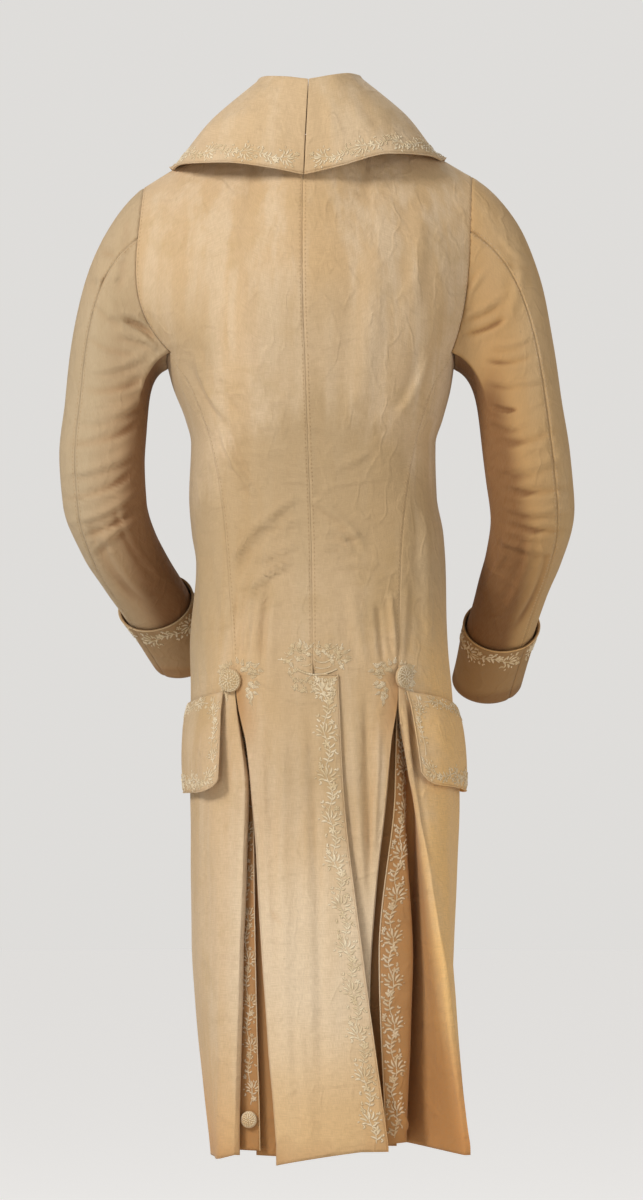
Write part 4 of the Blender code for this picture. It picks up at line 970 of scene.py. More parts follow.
# Sleeves: cut in two pieces, an upper and an under, joined along the fore arm and the hind arm, bent at the
# elbow and creased as the arm has worn them. The head is eased into the armhole.
# Centre line and radius, from the upper arm to the wrist
SLEEVE_HEAD_WAY = {"left": (-0.80, 0.0, -0.60), "right": (0.86, 0.0, -0.51)}
SLEEVE = {
    "left": table(
        "x y z radius",
        (-216, -8, -297, 44),
        (-220, -15, -345, 45),
        (-217, -8, -392, 43.5),
        (-202, 16, -436, 40),
        (-180, 50, -474, 37),
        (-161, 82, -504, 35.5),
        (-134, 130, -550, 34),
    ),
    "right": table(
        "x y z radius",
        (219, -8, -300, 45),
        (226, -15, -355, 45.5),
        (231, -8, -404, 44),
        (223, 18, -447, 40),
        (212, 50, -482, 37),
        (200, 92, -524, 35.5),
        (186, 146, -578, 34),
    ),
}
SLEEVE_EASE = 32.0  # length over which the sleeve's direction is averaged
HIND_SEAM = math.radians(52)
FORE_SEAM = math.radians(238)


def normals_of(grid):
    """Unit normals of a grid of points."""
    along_rows, along_columns = np.gradient(grid, axis=0), np.gradient(grid, axis=1)
    normal = np.cross(along_rows, along_columns)
    return normal / np.linalg.norm(normal, axis=-1, keepdims=True)


def armhole(side):
    """The armhole's edge, point for point as in the body's own rows, and each point's angle on the sleeve."""
    down = np.linspace(0, 1, YOKE_ROWS)
    back = back_yoke(side, np.array((0.0, 1.0)), down)[:, -1]
    front = front_yoke(side, np.array((0.0, 1.0)), down)[::-1, 0]
    share = np.linspace(0, 1, UNDER_COLUMNS)
    below = under_arm(side, np.full_like(share, UNDERARM_Z), share)
    ring = np.concatenate((back, below[1:-1], front))
    reach = np.concatenate(((0.0,), np.cumsum(np.linalg.norm(np.diff(ring, axis=0), axis=1))))
    bottom = reach[YOKE_ROWS - 1 + UNDER_COLUMNS // 2]
    angle = np.interp(reach, (0, bottom, reach[-1]), (0, math.pi, 2 * math.pi))
    return ring, angle


def sleeve_frame(side, t):
    """Centre, radius and the two ways across the sleeve at t, 0 on the upper arm and 1 at the wrist."""
    rows = SLEEVE[side]
    line = np.stack((rows["x"], rows["y"], rows["z"]), axis=-1)
    reach = np.concatenate(((0.0,), np.cumsum(np.linalg.norm(np.diff(line, axis=0), axis=1))))
    at = np.asarray(t, float) * reach[-1]

    def centre_at(s):
        """The centre line's point at a length from the upper arm."""
        return np.stack([smooth(reach, line[:, i], s) for i in range(3)], axis=-1)

    centre = centre_at(at)
    before, after = (np.clip(at + step, 0, reach[-1]) for step in (-SLEEVE_EASE, SLEEVE_EASE))
    way = centre_at(after) - centre_at(before)
    way /= np.linalg.norm(way, axis=-1, keepdims=True)
    out = np.array((SIDES[side], 0.0, 0.0)) - way * way[:, :1] * SIDES[side]
    out /= np.linalg.norm(out, axis=-1, keepdims=True)
    back = np.cross(way, out) * SIDES[side]
    return centre, smooth(reach, rows["radius"], at), out, back, reach[-1], way


def sleeve_rings(side, t, angle, proud=0.0):
    """Rings of the sleeve. The angle is 0 on its outer side and a quarter turn at the back.

    Each is a circle round the centre line, its outer side a little higher than its inner side.
    """
    centre, radius, out, back, _, way = sleeve_frame(side, t)
    radius = (radius + proud)[:, None, None]
    lean = 0.16 * np.cos(angle)[None, :, None] * way[:, None]
    ring = out[:, None] * np.cos(angle)[None, :, None] + back[:, None] * np.sin(angle)[None, :, None]
    return centre[:, None] + radius * (ring - lean)


def sleeve_head(side, edge, angle, down):
    """The sleeve's head: cubic curves from its edge in the armhole to the first ring of the upper arm."""
    foot = sleeve_rings(side, np.zeros(1), angle)[0]
    way = sleeve_frame(side, np.zeros(1))[5][0]
    under = (1 - np.cos(angle)[:, None]) / 2
    leave = np.array(SLEEVE_HEAD_WAY[side]) * (1 - under) + np.array((SIDES[side] * 0.95, 0.0, -0.30)) * under
    length = np.linalg.norm(foot - edge, axis=-1)[:, None]
    return bridge(edge, leave * length, foot, way * length, down)


sleeve_creases = {
    "left": (
        (118, 312, 158, 333, -3, 4.5, 2.6),
        (122, 322, 157, 341, -3, 3.6, -4.2),
        (116, 334, 160, 350, -3, 4.5, 2.4),
        (96, 300, 128, 322, 5, 4.0, 1.6),
        (100, 236, 132, 262, 4, 4.0, 1.3),
        (98, 252, 128, 250, 5, 3.6, -1.1),
        (92, 278, 124, 276, 5, 4.0, 1.3),
        (88, 340, 140, 356, 5, 4.0, -1.3),
        (88, 372, 150, 352, 6, 4.5, 1.9),
        (84, 392, 150, 376, 7, 5.0, -1.6),
        (70, 420, 146, 396, 9, 6.0, 1.8),
        (66, 446, 144, 420, 8, 6.0, -1.5),
        (62, 474, 140, 446, 8, 5.5, 1.9),
        (60, 500, 138, 468, 9, 5.0, -1.6),
        (64, 524, 142, 486, 8, 4.5, 1.9),
        (76, 540, 150, 500, 6, 4.5, -1.7),
        (90, 556, 140, 520, -4, 5.0, 1.8),
        (104, 524, 150, 600, 8, 5.5, 1.8),
        (90, 520, 138, 606, 9, 6.0, -1.6),
        (118, 500, 164, 580, 8, 4.5, 1.4),
        (98, 262, 132, 330, 8, 7.0, 1.3),
        (126, 215, 118, 300, -3, 6.0, -1.2),
    ),
    "right": (
        (500, 236, 528, 262, 4, 4.0, 1.2),
        (494, 258, 534, 270, 4, 3.6, -1.1),
        (488, 346, 532, 336, 5, 4.0, 1.5),
        (484, 362, 536, 356, 5, 4.0, -1.4),
        (484, 380, 548, 378, 5, 4.0, 1.4),
        (456, 318, 500, 300, 3, 4.5, 2.6),
        (462, 336, 510, 316, 4, 4.5, -2.2),
        (486, 272, 458, 322, 4, 4.0, 2.2),
        (488, 406, 518, 411, 3, 3.5, -2.2),
        (484, 418, 530, 424, 5, 4.5, 1.6),
        (486, 444, 560, 430, 6, 6.0, -1.4),
        (490, 470, 568, 452, 7, 6.0, 1.6),
        (500, 492, 572, 486, 5, 4.5, -1.8),
        (502, 508, 574, 506, 6, 4.0, 2.0),
        (500, 524, 570, 530, 5, 4.0, -1.9),
        (498, 540, 562, 552, 4, 4.5, 1.8),
        (530, 536, 498, 620, -7, 5.5, 1.8),
        (548, 544, 514, 630, -7, 5.0, -1.6),
        (508, 520, 484, 590, -5, 4.5, 1.4),
        (520, 262, 500, 330, -6, 7.0, 1.2),
    ),
}
YOKE_ROWS, UNDER_COLUMNS = 52, 40
# Share of soil and painted shade laid over each whole sleeve
SLEEVE_SOIL_AND_SHADE = {"left": 0.36, "right": 0.74}
for side in SIDES:
    ring, ring_angle = armhole(side)
    hind = int(np.argmin(np.abs(ring_angle - HIND_SEAM)))
    fore = int(np.argmin(np.abs(ring_angle - FORE_SEAM)))
    for half, picks in (
        ("top", np.concatenate((np.arange(fore, len(ring)), np.arange(1, hind + 1)))),
        ("under", np.arange(hind, fore + 1)),
    ):
        angle = np.unwrap(ring_angle[picks])
        angle[0] += 0.006
        angle[-1] -= 0.006
        head = sleeve_head(side, ring[picks], angle, np.linspace(0, 1, 56))
        arm = sleeve_rings(side, np.linspace(0, 1, 120), angle)
        head[-1] = arm[0]
        whole = np.concatenate((head, arm[1:]))
        length = row_length(whole)
        seam = np.minimum(length, length[:, -1:] - length)
        seam = np.minimum(seam, column_length(whole))
        ring_of = np.broadcast_to(angle, whole.shape[:2])
        below = column_length(whole)
        ease_in = np.sin(ring_of * 46) * np.exp(-below / 9) * 0.55 * np.clip(np.cos(ring_of) + 0.4, 0, 1)
        whole = whole + normals_of(whole) * (1 if side == "left" else -1) * ease_in[..., None]
        facing = normals_of(whole) * (1 if side == "left" else -1)
        # Soil and painted shade: darker on the sides that face the body and downwards, where the arm shades
        # them, and more soiled towards the wrist.
        soil_and_shade = -facing[..., 0] * SIDES[side] * 1.25 - facing[..., 2] * 0.35 + SLEEVE_SOIL_AND_SHADE[side]
        soil_and_shade = np.clip(1.15 * soil_and_shade + 0.62 * np.linspace(-0.42, 1, len(whole))[:, None], 0, 1.7)
        rows = sleeve_creases[side]
        # Painted shade in the troughs of the creases.
        trough = -creased(whole.reshape(-1, 3), facing.reshape(-1, 3), rows, -1).reshape(soil_and_shade.shape)
        soil_and_shade = np.clip(soil_and_shade + 0.8 * np.clip(trough / 2.4, 0, 1), 0, 1.7)
        ahead = tuple((x0, y0 + 9, x1, y1 + 5, -bow, width * 1.1, tall * 0.9)
                      for x0, y0, x1, y1, bow, width, tall in rows)
        thing, shaped["sleeve_" + half + "_" + side] = cloth(
            "sleeve_" + half + "_cloth_" + side, [whole], 1.2, side == "right", sleeve_looks[side],
            lambda p, n: 1.5 * creased(p, n, rows, -1) + 1.5 * creased(p, n, ahead, 1) + rumpled(p, 0.7),
            [seam], [soil_and_shade])
        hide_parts("sleeve_" + half + "_" + side)

# Cuffs: a band of the same cotton turned back over the end of each sleeve, its upper edge standing a little
# open and its lower fold worn brown.
CUFF_DEPTH = 82.0
CUFF_PROUD = 2.55
CUFF_FLARE = 1.6
cuffs = {}
for side in SIDES:
    reach = sleeve_frame(side, np.zeros(1))[4]
    up = np.linspace(0, 1, 30)
    angle = np.linspace(HIND_SEAM + 0.01, HIND_SEAM + 2 * math.pi - 0.01, 150)
    cuff = sleeve_rings(side, 1 - CUFF_DEPTH / reach * up, angle, CUFF_PROUD + CUFF_FLARE * up**3)[::-1]
    length = row_length(cuff)
    seam = np.minimum(length, length[:, -1:] - length)
    foot = 0.76 + 0.05 * np.sin(3 * angle + 1.0)
    worn = ease((np.linspace(0, 1, 30)[:, None] - foot) / 0.12) * 1.25
    thing, shaped["cuff_" + side] = cloth(
        "cuff_cloth_" + side, [cuff], 1.7, side == "right", cuff_looks[side],
        lambda p, n: rumpled(p, 0.5), [seam], [worn])
    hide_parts("cuff_" + side)
    cuffs[side] = thing

# Collar: stands on the neckline, rolls over and falls wide over the shoulders to a point at the centre back,
# where its two halves are seamed.
FIRM_CLOTH = 2.2  # collar, cuffs and flaps are two layers
LIE_GAP = 0.5  # between a piece and the panel it lies on
# The fold that the collar turns over and the edge that lies on the shoulders, from centre back to front end
COLLAR = {
    "left": table(
        "foldx foldy foldz edgex edgey edgez",
        (-4.3, -74, 50, -9.0, -92, -50),
        (-26, -69, 53, -44, -93, -43),
        (-46, -50, 54, -92, -82, -37),
        (-55, -22, 52, -136, -46, -38),
        (-57, 8, 38, -146, -4, -44),
        (-52, 36, 14, -132, 40, -56),
        (-38, 62, -14, -92, 84, -80),
        (-16, 82, -48, -34, 106, -108),
    ),
    "right": table(
        "foldx foldy foldz edgex edgey edgez",
        (-3.3, -74, 50, -8.0, -92, -50),
        (20, -69, 54, 30, -93, -41),
        (40, -50, 57, 82, -82, -28),
        (50, -22, 56, 124, -46, -29),
        (54, 8, 42, 137, -4, -35),
        (50, 36, 18, 126, 40, -50),
        (38, 62, -12, 92, 84, -78),
        (18, 82, -48, 38, 106, -108),
    ),
}
COLLAR_NECK_SHARE = 0.5
COLLAR_ROLL = 3.6


def lift(points, ground, clear):
    """Points moved out until they stand clear of the ground's nearest points, given as (points, normals)."""
    spots, ways = (a.reshape(-1, 3) for a in ground)
    flat = points.reshape(-1, 3).copy()
    for _ in range(3):
        for i, point in enumerate(flat):
            gap = point - spots
            near = np.argmin((gap**2).sum(axis=1))
            height = gap[near] @ ways[near]
            if height < clear and (gap[near] ** 2).sum() < 900:
                flat[i] = point + ways[near] * (clear - height)
    return flat.reshape(points.shape)


def collar_lines(side, share):
    """The collar's foot, fold and outer edge from the centre back (share 0) to its front end (share 1)."""
    knots = np.linspace(0, 1, 8)
    foot_share = NECK_SHARE * np.clip(share / COLLAR_NECK_SHARE, 0, 1)
    foot = back_top(side, foot_share)
    part = np.clip((share - COLLAR_NECK_SHARE) / (1 - COLLAR_NECK_SHARE), 0, 1) * 0.92
    front = front_top(side, 1 - FRONT_NECK_SHARE + FRONT_NECK_SHARE * part)
    foot = np.where((share > COLLAR_NECK_SHARE)[:, None], front, foot)
    lines = [foot + (0, 0, SEAM_GAP + 0.6)]
    for name in ("fold", "edge"):
        rows = COLLAR[side]
        lines.append(np.stack([smooth(knots, rows[name + axis], share) for axis in "xyz"], axis=-1))
    return lines


def collar_half(side, share, parts):
    """Half the collar: it stands on the neckline, rolls over and falls onto the shoulders.

    Across it runs one smooth curve through foot, stand, both sides of the fold, middle of the fall and edge.
    """
    foot, fold, edge = collar_lines(side, share)
    out = (edge - foot) * (1, 1, 0)
    out /= np.linalg.norm(out, axis=-1, keepdims=True)
    drop = np.array((0, 0, COLLAR_ROLL * 1.1))
    middle = (fold + edge) / 2 + out * 7 + (0, 0, 4)
    stand = (foot + fold) / 2 - out * 2
    roll = out * COLLAR_ROLL
    points = (foot, stand, fold - roll - drop, fold, fold + roll - drop, middle, edge)
    return spline(np.stack(points, axis=1), parts)


def yoke_ground(side, rows=50, columns=50):
    """Points and outward normals of the shoulders, for the collar to lie on."""
    down, share = np.linspace(0, 1, rows), np.linspace(0, 1, columns)
    spots, ways = [], []
    for yoke in (back_yoke, front_yoke):
        grid = yoke(side, share, down)
        normal = normals_of(grid)
        middle = np.array((0.0, 0.0, -200.0))
        normal *= np.sign(((grid - middle) * normal).sum(axis=-1, keepdims=True))
        spots.append(grid.reshape(-1, 3))
        ways.append(normal.reshape(-1, 3))
    return np.concatenate(spots), np.concatenate(ways)


collars = {}
collar_creases = (
    (196, 140, 260, 118, -5, 7.0, 1.2),
    (230, 160, 262, 110, 6, 9.0, 1.0),
    (392, 150, 350, 104, -6, 9.0, 1.1),
    (270, 96, 292, 110, 3, 5.0, -0.8),
    (330, 100, 338, 150, 3, 8.0, 1.0),
)
for side in SIDES:
    share = np.concatenate((np.linspace(0.002, 0.02, 8)[:-1], np.linspace(0.02, 1, 88)))
    coarse = collar_half(side, share, 10)
    ground = yoke_ground(side)
    whole = coarse.copy()
    whole[:, 22:] = lift(coarse[:, 22:], ground, FIRM_CLOTH + LIE_GAP + 1.2)
    whole[0, :, 0] = coarse[0, :, 0]
    closing = np.exp(-((share / 0.02) ** 2))[:, None]
    whole[..., 0] -= SIDES[side] * 0.44 * closing
    grid = whole.transpose(1, 0, 2)
    length = row_length(grid)
    thing, shaped["collar_" + side] = cloth(
        "collar_cloth_" + side, [grid], 1.7, side == "left", trim_look,
        lambda p, n: 1.5 * creased(p, n, collar_creases, -1) + rumpled(p, 0.6), [length])
    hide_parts("collar_" + side)
    collars[side] = thing

# Pocket flaps: flaps of two layers, sewn to the fronts along their top edge at the hips, the left one with
# its back corner curled.
FLAP_LENGTH = 168.0  # round the hip
FLAP_TOP_PROUD = 4.2
FLAP_PROUD = 6.2
FLAP_CORNER = 12.0
FLAP_CURL = {"left": 9.0, "right": 0.0}
FLAP_BACK_X = {"left": (-91.0, -91.0), "right": (97.0, 114.0)}  # at its top and at its foot
FLAP_TOP_Z = {"left": (-590.0, -618.0), "right": (-589.0, -618.0)}  # at its back and at its front end
FLAP_FOOT_Z = {"left": (-694.0, -697.0), "right": (-686.0, -697.0)}
FLAP_STEPS = 60  # lines on which the skirt under it is read


def flap_grid(side, rows, columns):
    """A pocket flap on the front's skirt: its points moved out, its lower corners rounded, one curled.

    Lengths along the skirt's level rows give its places, and the skirt's normals the way out. The height
    bulges by a sine down the flap, and the curl falls off as a bell from the back edge and grows downwards.
    """
    v, u = np.linspace(0, 1, rows)[:, None], np.linspace(0, 1, columns)[None]
    level = np.linspace(FLAP_TOP_Z[side][0] + 2, FLAP_FOOT_Z[side][1] - 2, FLAP_STEPS)
    down = (HIP_Z - level) / (HIP_Z - FRONT_FOLDS[side]["turn"][8])
    step = np.linspace(0, 1, FLAP_STEPS)
    ground = np.concatenate((front_skirt(side, down, step), front_flap(side, down, step)[:, 1:]), axis=1)
    first, last = FLAP_BACK_X[side]
    laid = np.empty((FLAP_STEPS, columns, 3))
    for row, line in enumerate(ground):
        reach = np.concatenate(((0.0,), np.cumsum(np.linalg.norm(np.diff(line, axis=0), axis=1))))
        back_x = first + (last - first) * step[row]
        back = np.interp(abs(back_x), np.maximum.accumulate(np.abs(line[:, 0])), reach)
        for i in range(3):
            laid[row, :, i] = np.interp(back + FLAP_LENGTH * u[0], reach, line[:, i])
    way = normals_of(laid)
    way *= np.sign((way * laid * (1, 1, 0)).sum())
    corner = FLAP_CORNER * np.abs(2 * u - 1) ** 12
    top = FLAP_TOP_Z[side][0] + (FLAP_TOP_Z[side][1] - FLAP_TOP_Z[side][0]) * u
    foot = FLAP_FOOT_Z[side][0] + (FLAP_FOOT_Z[side][1] - FLAP_FOOT_Z[side][0]) * u + corner
    z = top + (foot - top) * v
    spot, out = np.empty((rows, columns, 3)), np.empty((rows, columns, 3))
    for column in range(columns):
        for i in range(3):
            spot[:, column, i] = np.interp(-z[:, column], -laid[:, column, 2], laid[:, column, i])
            out[:, column, i] = np.interp(-z[:, column], -laid[:, column, 2], way[:, column, i])
    curl = FLAP_CURL[side] * np.exp(-((u / 0.16) ** 2)) * v**3
    proud = FLAP_TOP_PROUD + (FLAP_PROUD - FLAP_TOP_PROUD) * ease(4 * v)
    proud = proud + 3 * np.sin(math.pi * v * 0.9) + curl
    return spot + out * proud[..., None]


flaps = {}
for side in SIDES:
    grid = flap_grid(side, 40, 60)
    thing, shaped["flap_" + side] = cloth(
        "pocket_flap_cloth_" + side, [grid], 1.7, side == "left", trim_look,
        lambda p, n: rumpled(p, 0.5), [column_length(grid)])
    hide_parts("pocket_flap_" + side)
    flaps[side] = thing

# Embroidery: floral bands worked in cream cotton thread that stands a little proud of the cloth, each stitch
# darker at its edges with painted shadow of the raised thread and some soil. Petals, leaves and stems are all
# one small pointed pad of stitches, set out in short tables.
def band(grid, width, centre=(5.0, 5.0)):
    """Points and outward normals beside a grid's first column, one for every millimetre down and across."""
    across, down = row_length(grid), row_length(grid[:, :1].transpose(1, 0, 2))[0]
    at = np.arange(0, width + 1.0)
    rows = range(len(grid))
    level = np.stack([[np.interp(at, across[i], grid[i, :, k]) for i in rows] for k in range(3)], axis=-1)
    to = np.arange(0, down[-1], 1.0)
    columns = range(len(at))
    strip = np.stack([[np.interp(to, down, level[:, j, k]) for j in columns] for k in range(3)], axis=-1)
    strip = strip.transpose(1, 0, 2)
    normal = normals_of(strip)
    middle = np.array((*centre, 0.0))
    sign = np.sign((((strip - middle) * (1, 1, 0)) * normal).sum())
    return strip, normal * sign


def leaf_rows(rows):
    """A table of stitch pads: across, along, angle, length, width and height in mm and degrees."""
    return np.array(rows, float).reshape(-1, 6)


def flower(a, b, size, turn=0.0):
    """Five petals around a knot."""
    rows = [(a, b, turn + 72 * k, size, size * 0.48, 0.95) for k in range(5)]
    return rows + [(a, b - size * 0.2, 0, size * 0.40, size * 0.42, 1.3)]


def twig(a, b, angle, size, pairs=3):
    """A stem with pairs of leaves and one at its tip."""
    way = np.array((math.sin(math.radians(angle)), math.cos(math.radians(angle))))
    rows = [(a, b, angle, size, 0.8, 0.6)]
    for k in range(pairs):
        at = np.array((a, b)) + way * size * (0.15 + 0.26 * k)
        grown = size * (0.52 - 0.06 * k)
        rows += [(at[0], at[1], angle + 50, grown, grown * 0.25, 0.85)]
        rows += [(at[0], at[1], angle - 50, grown, grown * 0.25, 0.85)]
    tip = np.array((a, b)) + way * size * 0.84
    return rows + [(tip[0], tip[1], angle, size * 0.5, size * 0.18, 0.85)]


def fan(a, b, size, lean=0.0):
    """Seven narrow leaves that open upwards round a point, clear of it, the lower ones curling."""
    rows = []
    for turn, share in ((0, 1.0), (30, 0.95), (-30, 0.95), (62, 0.85), (-62, 0.85), (96, 0.66), (-96, 0.66)):
        angle = math.radians(180 + turn + lean)
        x, y = a + math.sin(angle) * size * 0.30, b + math.cos(angle) * size * 0.30
        rows.append((x, y, 180 + turn + lean, size * share * 0.78, size * 0.165, 0.9))
    for turn in (14, -14, 46, -46, 80, -80):
        angle = math.radians(180 + turn + lean)
        x, y = a + math.sin(angle) * size * 0.92, b + math.cos(angle) * size * 0.92
        rows.append((x, y, 180 + turn * 1.3 + lean, size * 0.26, size * 0.12, 0.8))
    return rows


def running_band(length, width, start=2.0, unit=45.0):
    """A running stem that waves along a band, with a fan, a flower, paired leaves and buds in each repeat."""
    rows = []
    middle, swing, grow = width * 0.50, width * 0.13, min(1.0, width / 20)
    for b in np.arange(start, length - 4, 4.2):
        a = middle + swing * math.sin(2 * math.pi * b / unit)
        later = middle + swing * math.sin(2 * math.pi * (b + 4.6) / unit)
        rows.append((a, b, math.degrees(math.atan2(later - a, 4.6)), 5.4, 0.9, 0.6))
    for k in range(int((length - start) / unit) + 1):
        at, hand = start + k * unit, 1 if k % 2 else -1
        jig = math.sin(k * 2.4)

        def stem(b):
            """Where the running stem stands across the band."""
            return middle + swing * math.sin(2 * math.pi * b / unit)

        if at + 18 < length:
            rows += fan(stem(at + 16), at + 16, 12.0 * grow, 6 * hand)
        if at + 27 < length:
            rows += flower(stem(at + 25) + 2.6 * hand * grow, at + 24.5 + jig, 4.7 * grow, 20.0 * k)
        if at + 5 < length:
            rows += flower(stem(at) - width * 0.30 * hand, at + 3 - jig, 3.2 * grow, 31.0 * k)
        for b, lean, size in ((20, 62, 6.4), (29, 44, 7.2), (34, 58, 7.4), (39, 40, 6.8), (43, 66, 6.0)):
            if at + b + 5 > length:
                continue
            for turn in (lean, -lean):
                rows.append((stem(at + b), at + b, 180 + turn + 5 * jig, size * grow, 1.9 * grow, 0.85))
        for b, share, turn in ((2, 0.36, 150), (8, -0.40, 200), (22, -0.38 * hand, 160),
                               (31, 0.42 * hand, 215), (36, -0.42, 150), (42, 0.40, 200)):
            if 3 < at + b < length - 4:
                rows.append((middle + share * width, at + b, turn, 3.6 * grow, 1.8 * grow, 0.9))
                rows.append((middle + share * width, at + b, turn + 75 * hand, 2.6 * grow, 1.3 * grow, 0.8))
    return rows


def stitched(name, work, material, inside=0.0):
    """One mesh of all the stitch pads of some bands, each pad a small ridge of five points by five.

    A pad is a pointed oval, bent sideways by the sine of half a turn along it and highest down its middle.
    """
    t = np.array((0, 0.22, 0.5, 0.78, 1.0))
    half = np.array((0.16, 0.82, 1.0, 0.74, 0.10))
    ridge = np.array((0.35, 0.92, 1.0, 0.85, 0.25))
    s = np.array((-1.55, -0.85, 0.0, 0.85, 1.55))
    rise = np.array((0.0, 0.42, 1.0, 0.42, 0.0))
    shade = np.array((1.0, 0.60, 0.0, 0.60, 1.0))
    points, rims = [], []
    for (strip, normal), rows in work:
        a, b, angle, length, width, tall = leaf_rows(rows).T[:, :, None, None]
        angle = np.radians(angle)
        run = t[None, :, None] * length
        side_run = s[None, None] * (width / 2 * half[None, :, None] + 0.12)
        side_run = side_run + 0.10 * length * np.sin(math.pi * t)[None, :, None]
        over = a + run * np.sin(angle) + side_run * np.cos(angle)
        down = b + run * np.cos(angle) - side_run * np.sin(angle)
        height = tall * ridge[None, :, None] * rise[None, None] + 0.10 - 0.22 * (rise == 0)
        i = np.clip(down, 0, strip.shape[0] - 1.001)
        j = np.clip(over, 0, strip.shape[1] - 1.001)
        i0, j0 = i.astype(int), j.astype(int)
        fi, fj = (i - i0)[..., None], (j - j0)[..., None]

        def taken(field):
            """The field between its four nearest points."""
            upper = field[i0, j0] * (1 - fj) + field[i0, j0 + 1] * fj
            lower = field[i0 + 1, j0] * (1 - fj) + field[i0 + 1, j0 + 1] * fj
            return upper * (1 - fi) + lower * fi

        spots = taken(strip) + taken(normal) * height[..., None]
        points.append(spots.reshape(-1, 3))
        rims.append(np.broadcast_to(shade[None, None], height.shape).reshape(-1))
    points, rims = np.concatenate(points), np.concatenate(rims)
    pads = len(points) // 25
    corner = np.arange(4)[:, None] * 5 + np.arange(4)
    one = np.stack((corner, corner + 1, corner + 6, corner + 5), axis=-1).reshape(-1, 4)
    faces = (one[None] + 25 * np.arange(pads)[:, None, None]).reshape(-1, 4)
    mesh = bpy.data.meshes.new(name)
    mesh.vertices.add(len(points))
    mesh.vertices.foreach_set("co", (points * 0.001).astype(np.float32).ravel())
    mesh.loops.add(faces.size)
    mesh.loops.foreach_set("vertex_index", faces.astype(np.int32).ravel())
    mesh.polygons.add(len(faces))
    mesh.polygons.foreach_set("loop_start", np.arange(0, faces.size, 4, dtype=np.int32))
    mesh.polygons.foreach_set("use_smooth", np.ones(len(faces), bool))
    mark = mesh.attributes.new("rim", "FLOAT", "POINT")
    mark.data.foreach_set("value", rims.astype(np.float32))
    mark = mesh.attributes.new("deep", "FLOAT", "POINT")
    mark.data.foreach_set("value", np.full(len(points), inside, np.float32))
    mesh.update(calc_edges=True)
    mesh.materials.append(material)
    thing = bpy.data.objects.new(name, mesh)
    bpy.context.collection.objects.link(thing)
    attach(thing, "root")
    return thing


thread = bpy.data.materials.new("embroidery thread")
thread.use_nodes = True
tree = thread.node_tree
rim = tree.nodes.new("ShaderNodeAttribute")
rim.attribute_name = "rim"
place = tree.nodes.new("ShaderNodeTexCoord").outputs["Object"]
soil = noise(tree, place, 60.0, 3.0, 0.6)
ground = tree.nodes.new("ShaderNodeGroup")
ground.node_tree = stains_and_shade
inside = tree.nodes.new("ShaderNodeAttribute")
inside.attribute_name = "deep"
tree.links.new(inside.outputs["Fac"], ground.inputs["Deep"])
cream = blended(tree, spread(tree, soil, 0.35, 0.62), (0.90, 0.78, 0.55, 1), (0.68, 0.53, 0.30, 1))
# The thread takes some of the cloth's colour, more inside the pleats, where that colour holds painted shade.
tinted_and_shaded = spread(tree, inside.outputs["Fac"], 0.0, 1.0, 0.30, 0.58)
cream = blended(tree, tinted_and_shaded, cream, ground.outputs["Color"])
# Painted shadow with some soil: each pad darker towards its edges, by its rim mark.
dark = spread(tree, rim.outputs["Fac"], 0.20, 0.95, 0.0, 0.85)
shadow = blended(tree, 0.40, (0.170, 0.105, 0.040, 1), ground.outputs["Color"])
colour = blended(tree, dark, cream, shadow)
tree.links.new(colour, tree.nodes["Principled BSDF"].inputs["Base Color"])
tree.nodes["Principled BSDF"].inputs["Roughness"].default_value = 0.55
tree.nodes["Principled BSDF"].inputs["Sheen Weight"].default_value = 0.3
bump = tree.nodes.new("ShaderNodeBump")
bump.inputs["Strength"].default_value = 0.6
bump.inputs["Distance"].default_value = 0.0004
tree.links.new(noise(tree, place, 1400.0, 1.0, 0.5), bump.inputs["Height"])
tree.links.new(bump.outputs[0], tree.nodes["Principled BSDF"].inputs["Normal"])

# Bands of the skirts: down the vent's free edge on the left back, and down the edge of each front's pleat,
# where their thread takes the pleat's painted shade. Worked on the cloth before it was made up.
vent = band(shaped["back_left"][2], 30)
vent_rows = [(a + 3.0, *rest) for a, *rest in running_band(len(vent[0]) - 6, 22)]
left_pleat = band(shaped["front_left"][5], 18)
right_pleat = band(shaped["front_right"][5], 26)
left_rows = [(a + 1.2, *rest) for a, *rest in running_band(len(left_pleat[0]) - 48, 15, 60.0)]
right_rows = [(a + 2.0, *rest) for a, *rest in running_band(len(right_pleat[0]) - 4, 20, 40.0)]
stitched("embroidery_vent", [(vent, vent_rows)], thread)
stitched("embroidery_pleats", [(left_pleat, left_rows), (right_pleat, right_rows)], thread, 0.7)

# Round the head of the vent: a garland over both backs and under the lap's top edge, and between them three
# bowed cords. Round the hip buttons: sprays on the backs and, smaller, on the fronts.
def by_place(strips, places):
    """Strips that lie side by side, joined and read off at evenly spaced places across the picture."""
    rows = min(len(strip) for strip, _ in strips)
    joined = [np.concatenate([pair[k][:rows] for pair in strips], axis=1) for k in range(2)]
    order = np.argsort(joined[0][..., 0], axis=1)
    joined = [np.take_along_axis(field, order[..., None], axis=1) for field in joined]
    return [np.array([[np.interp(places, joined[0][i, :, 0], field[i, :, k]) for k in range(3)]
                      for i in range(rows)]).transpose(0, 2, 1) for field in joined]


def sprigs(rows):
    """Small branching stems, each with leaves and a bud, at points given in picture pixels."""
    made = []
    for k, (x, y, angle, size) in enumerate(rows):
        a, b = (x - MIDDLE_COLUMN) * PIXEL + 44, (y - hip_row) * PIXEL + 40
        made += twig(a, b, angle, size, 2 + k % 2)
        if k % 3 == 0:
            turn = math.radians(angle)
            made += flower(a + 0.5 * size * math.sin(turn), b + 0.5 * size * math.cos(turn), 2.6, 31.0 * k)
        made.append((a, b, angle + 130, 3.0, 1.2, 0.8))
    return made


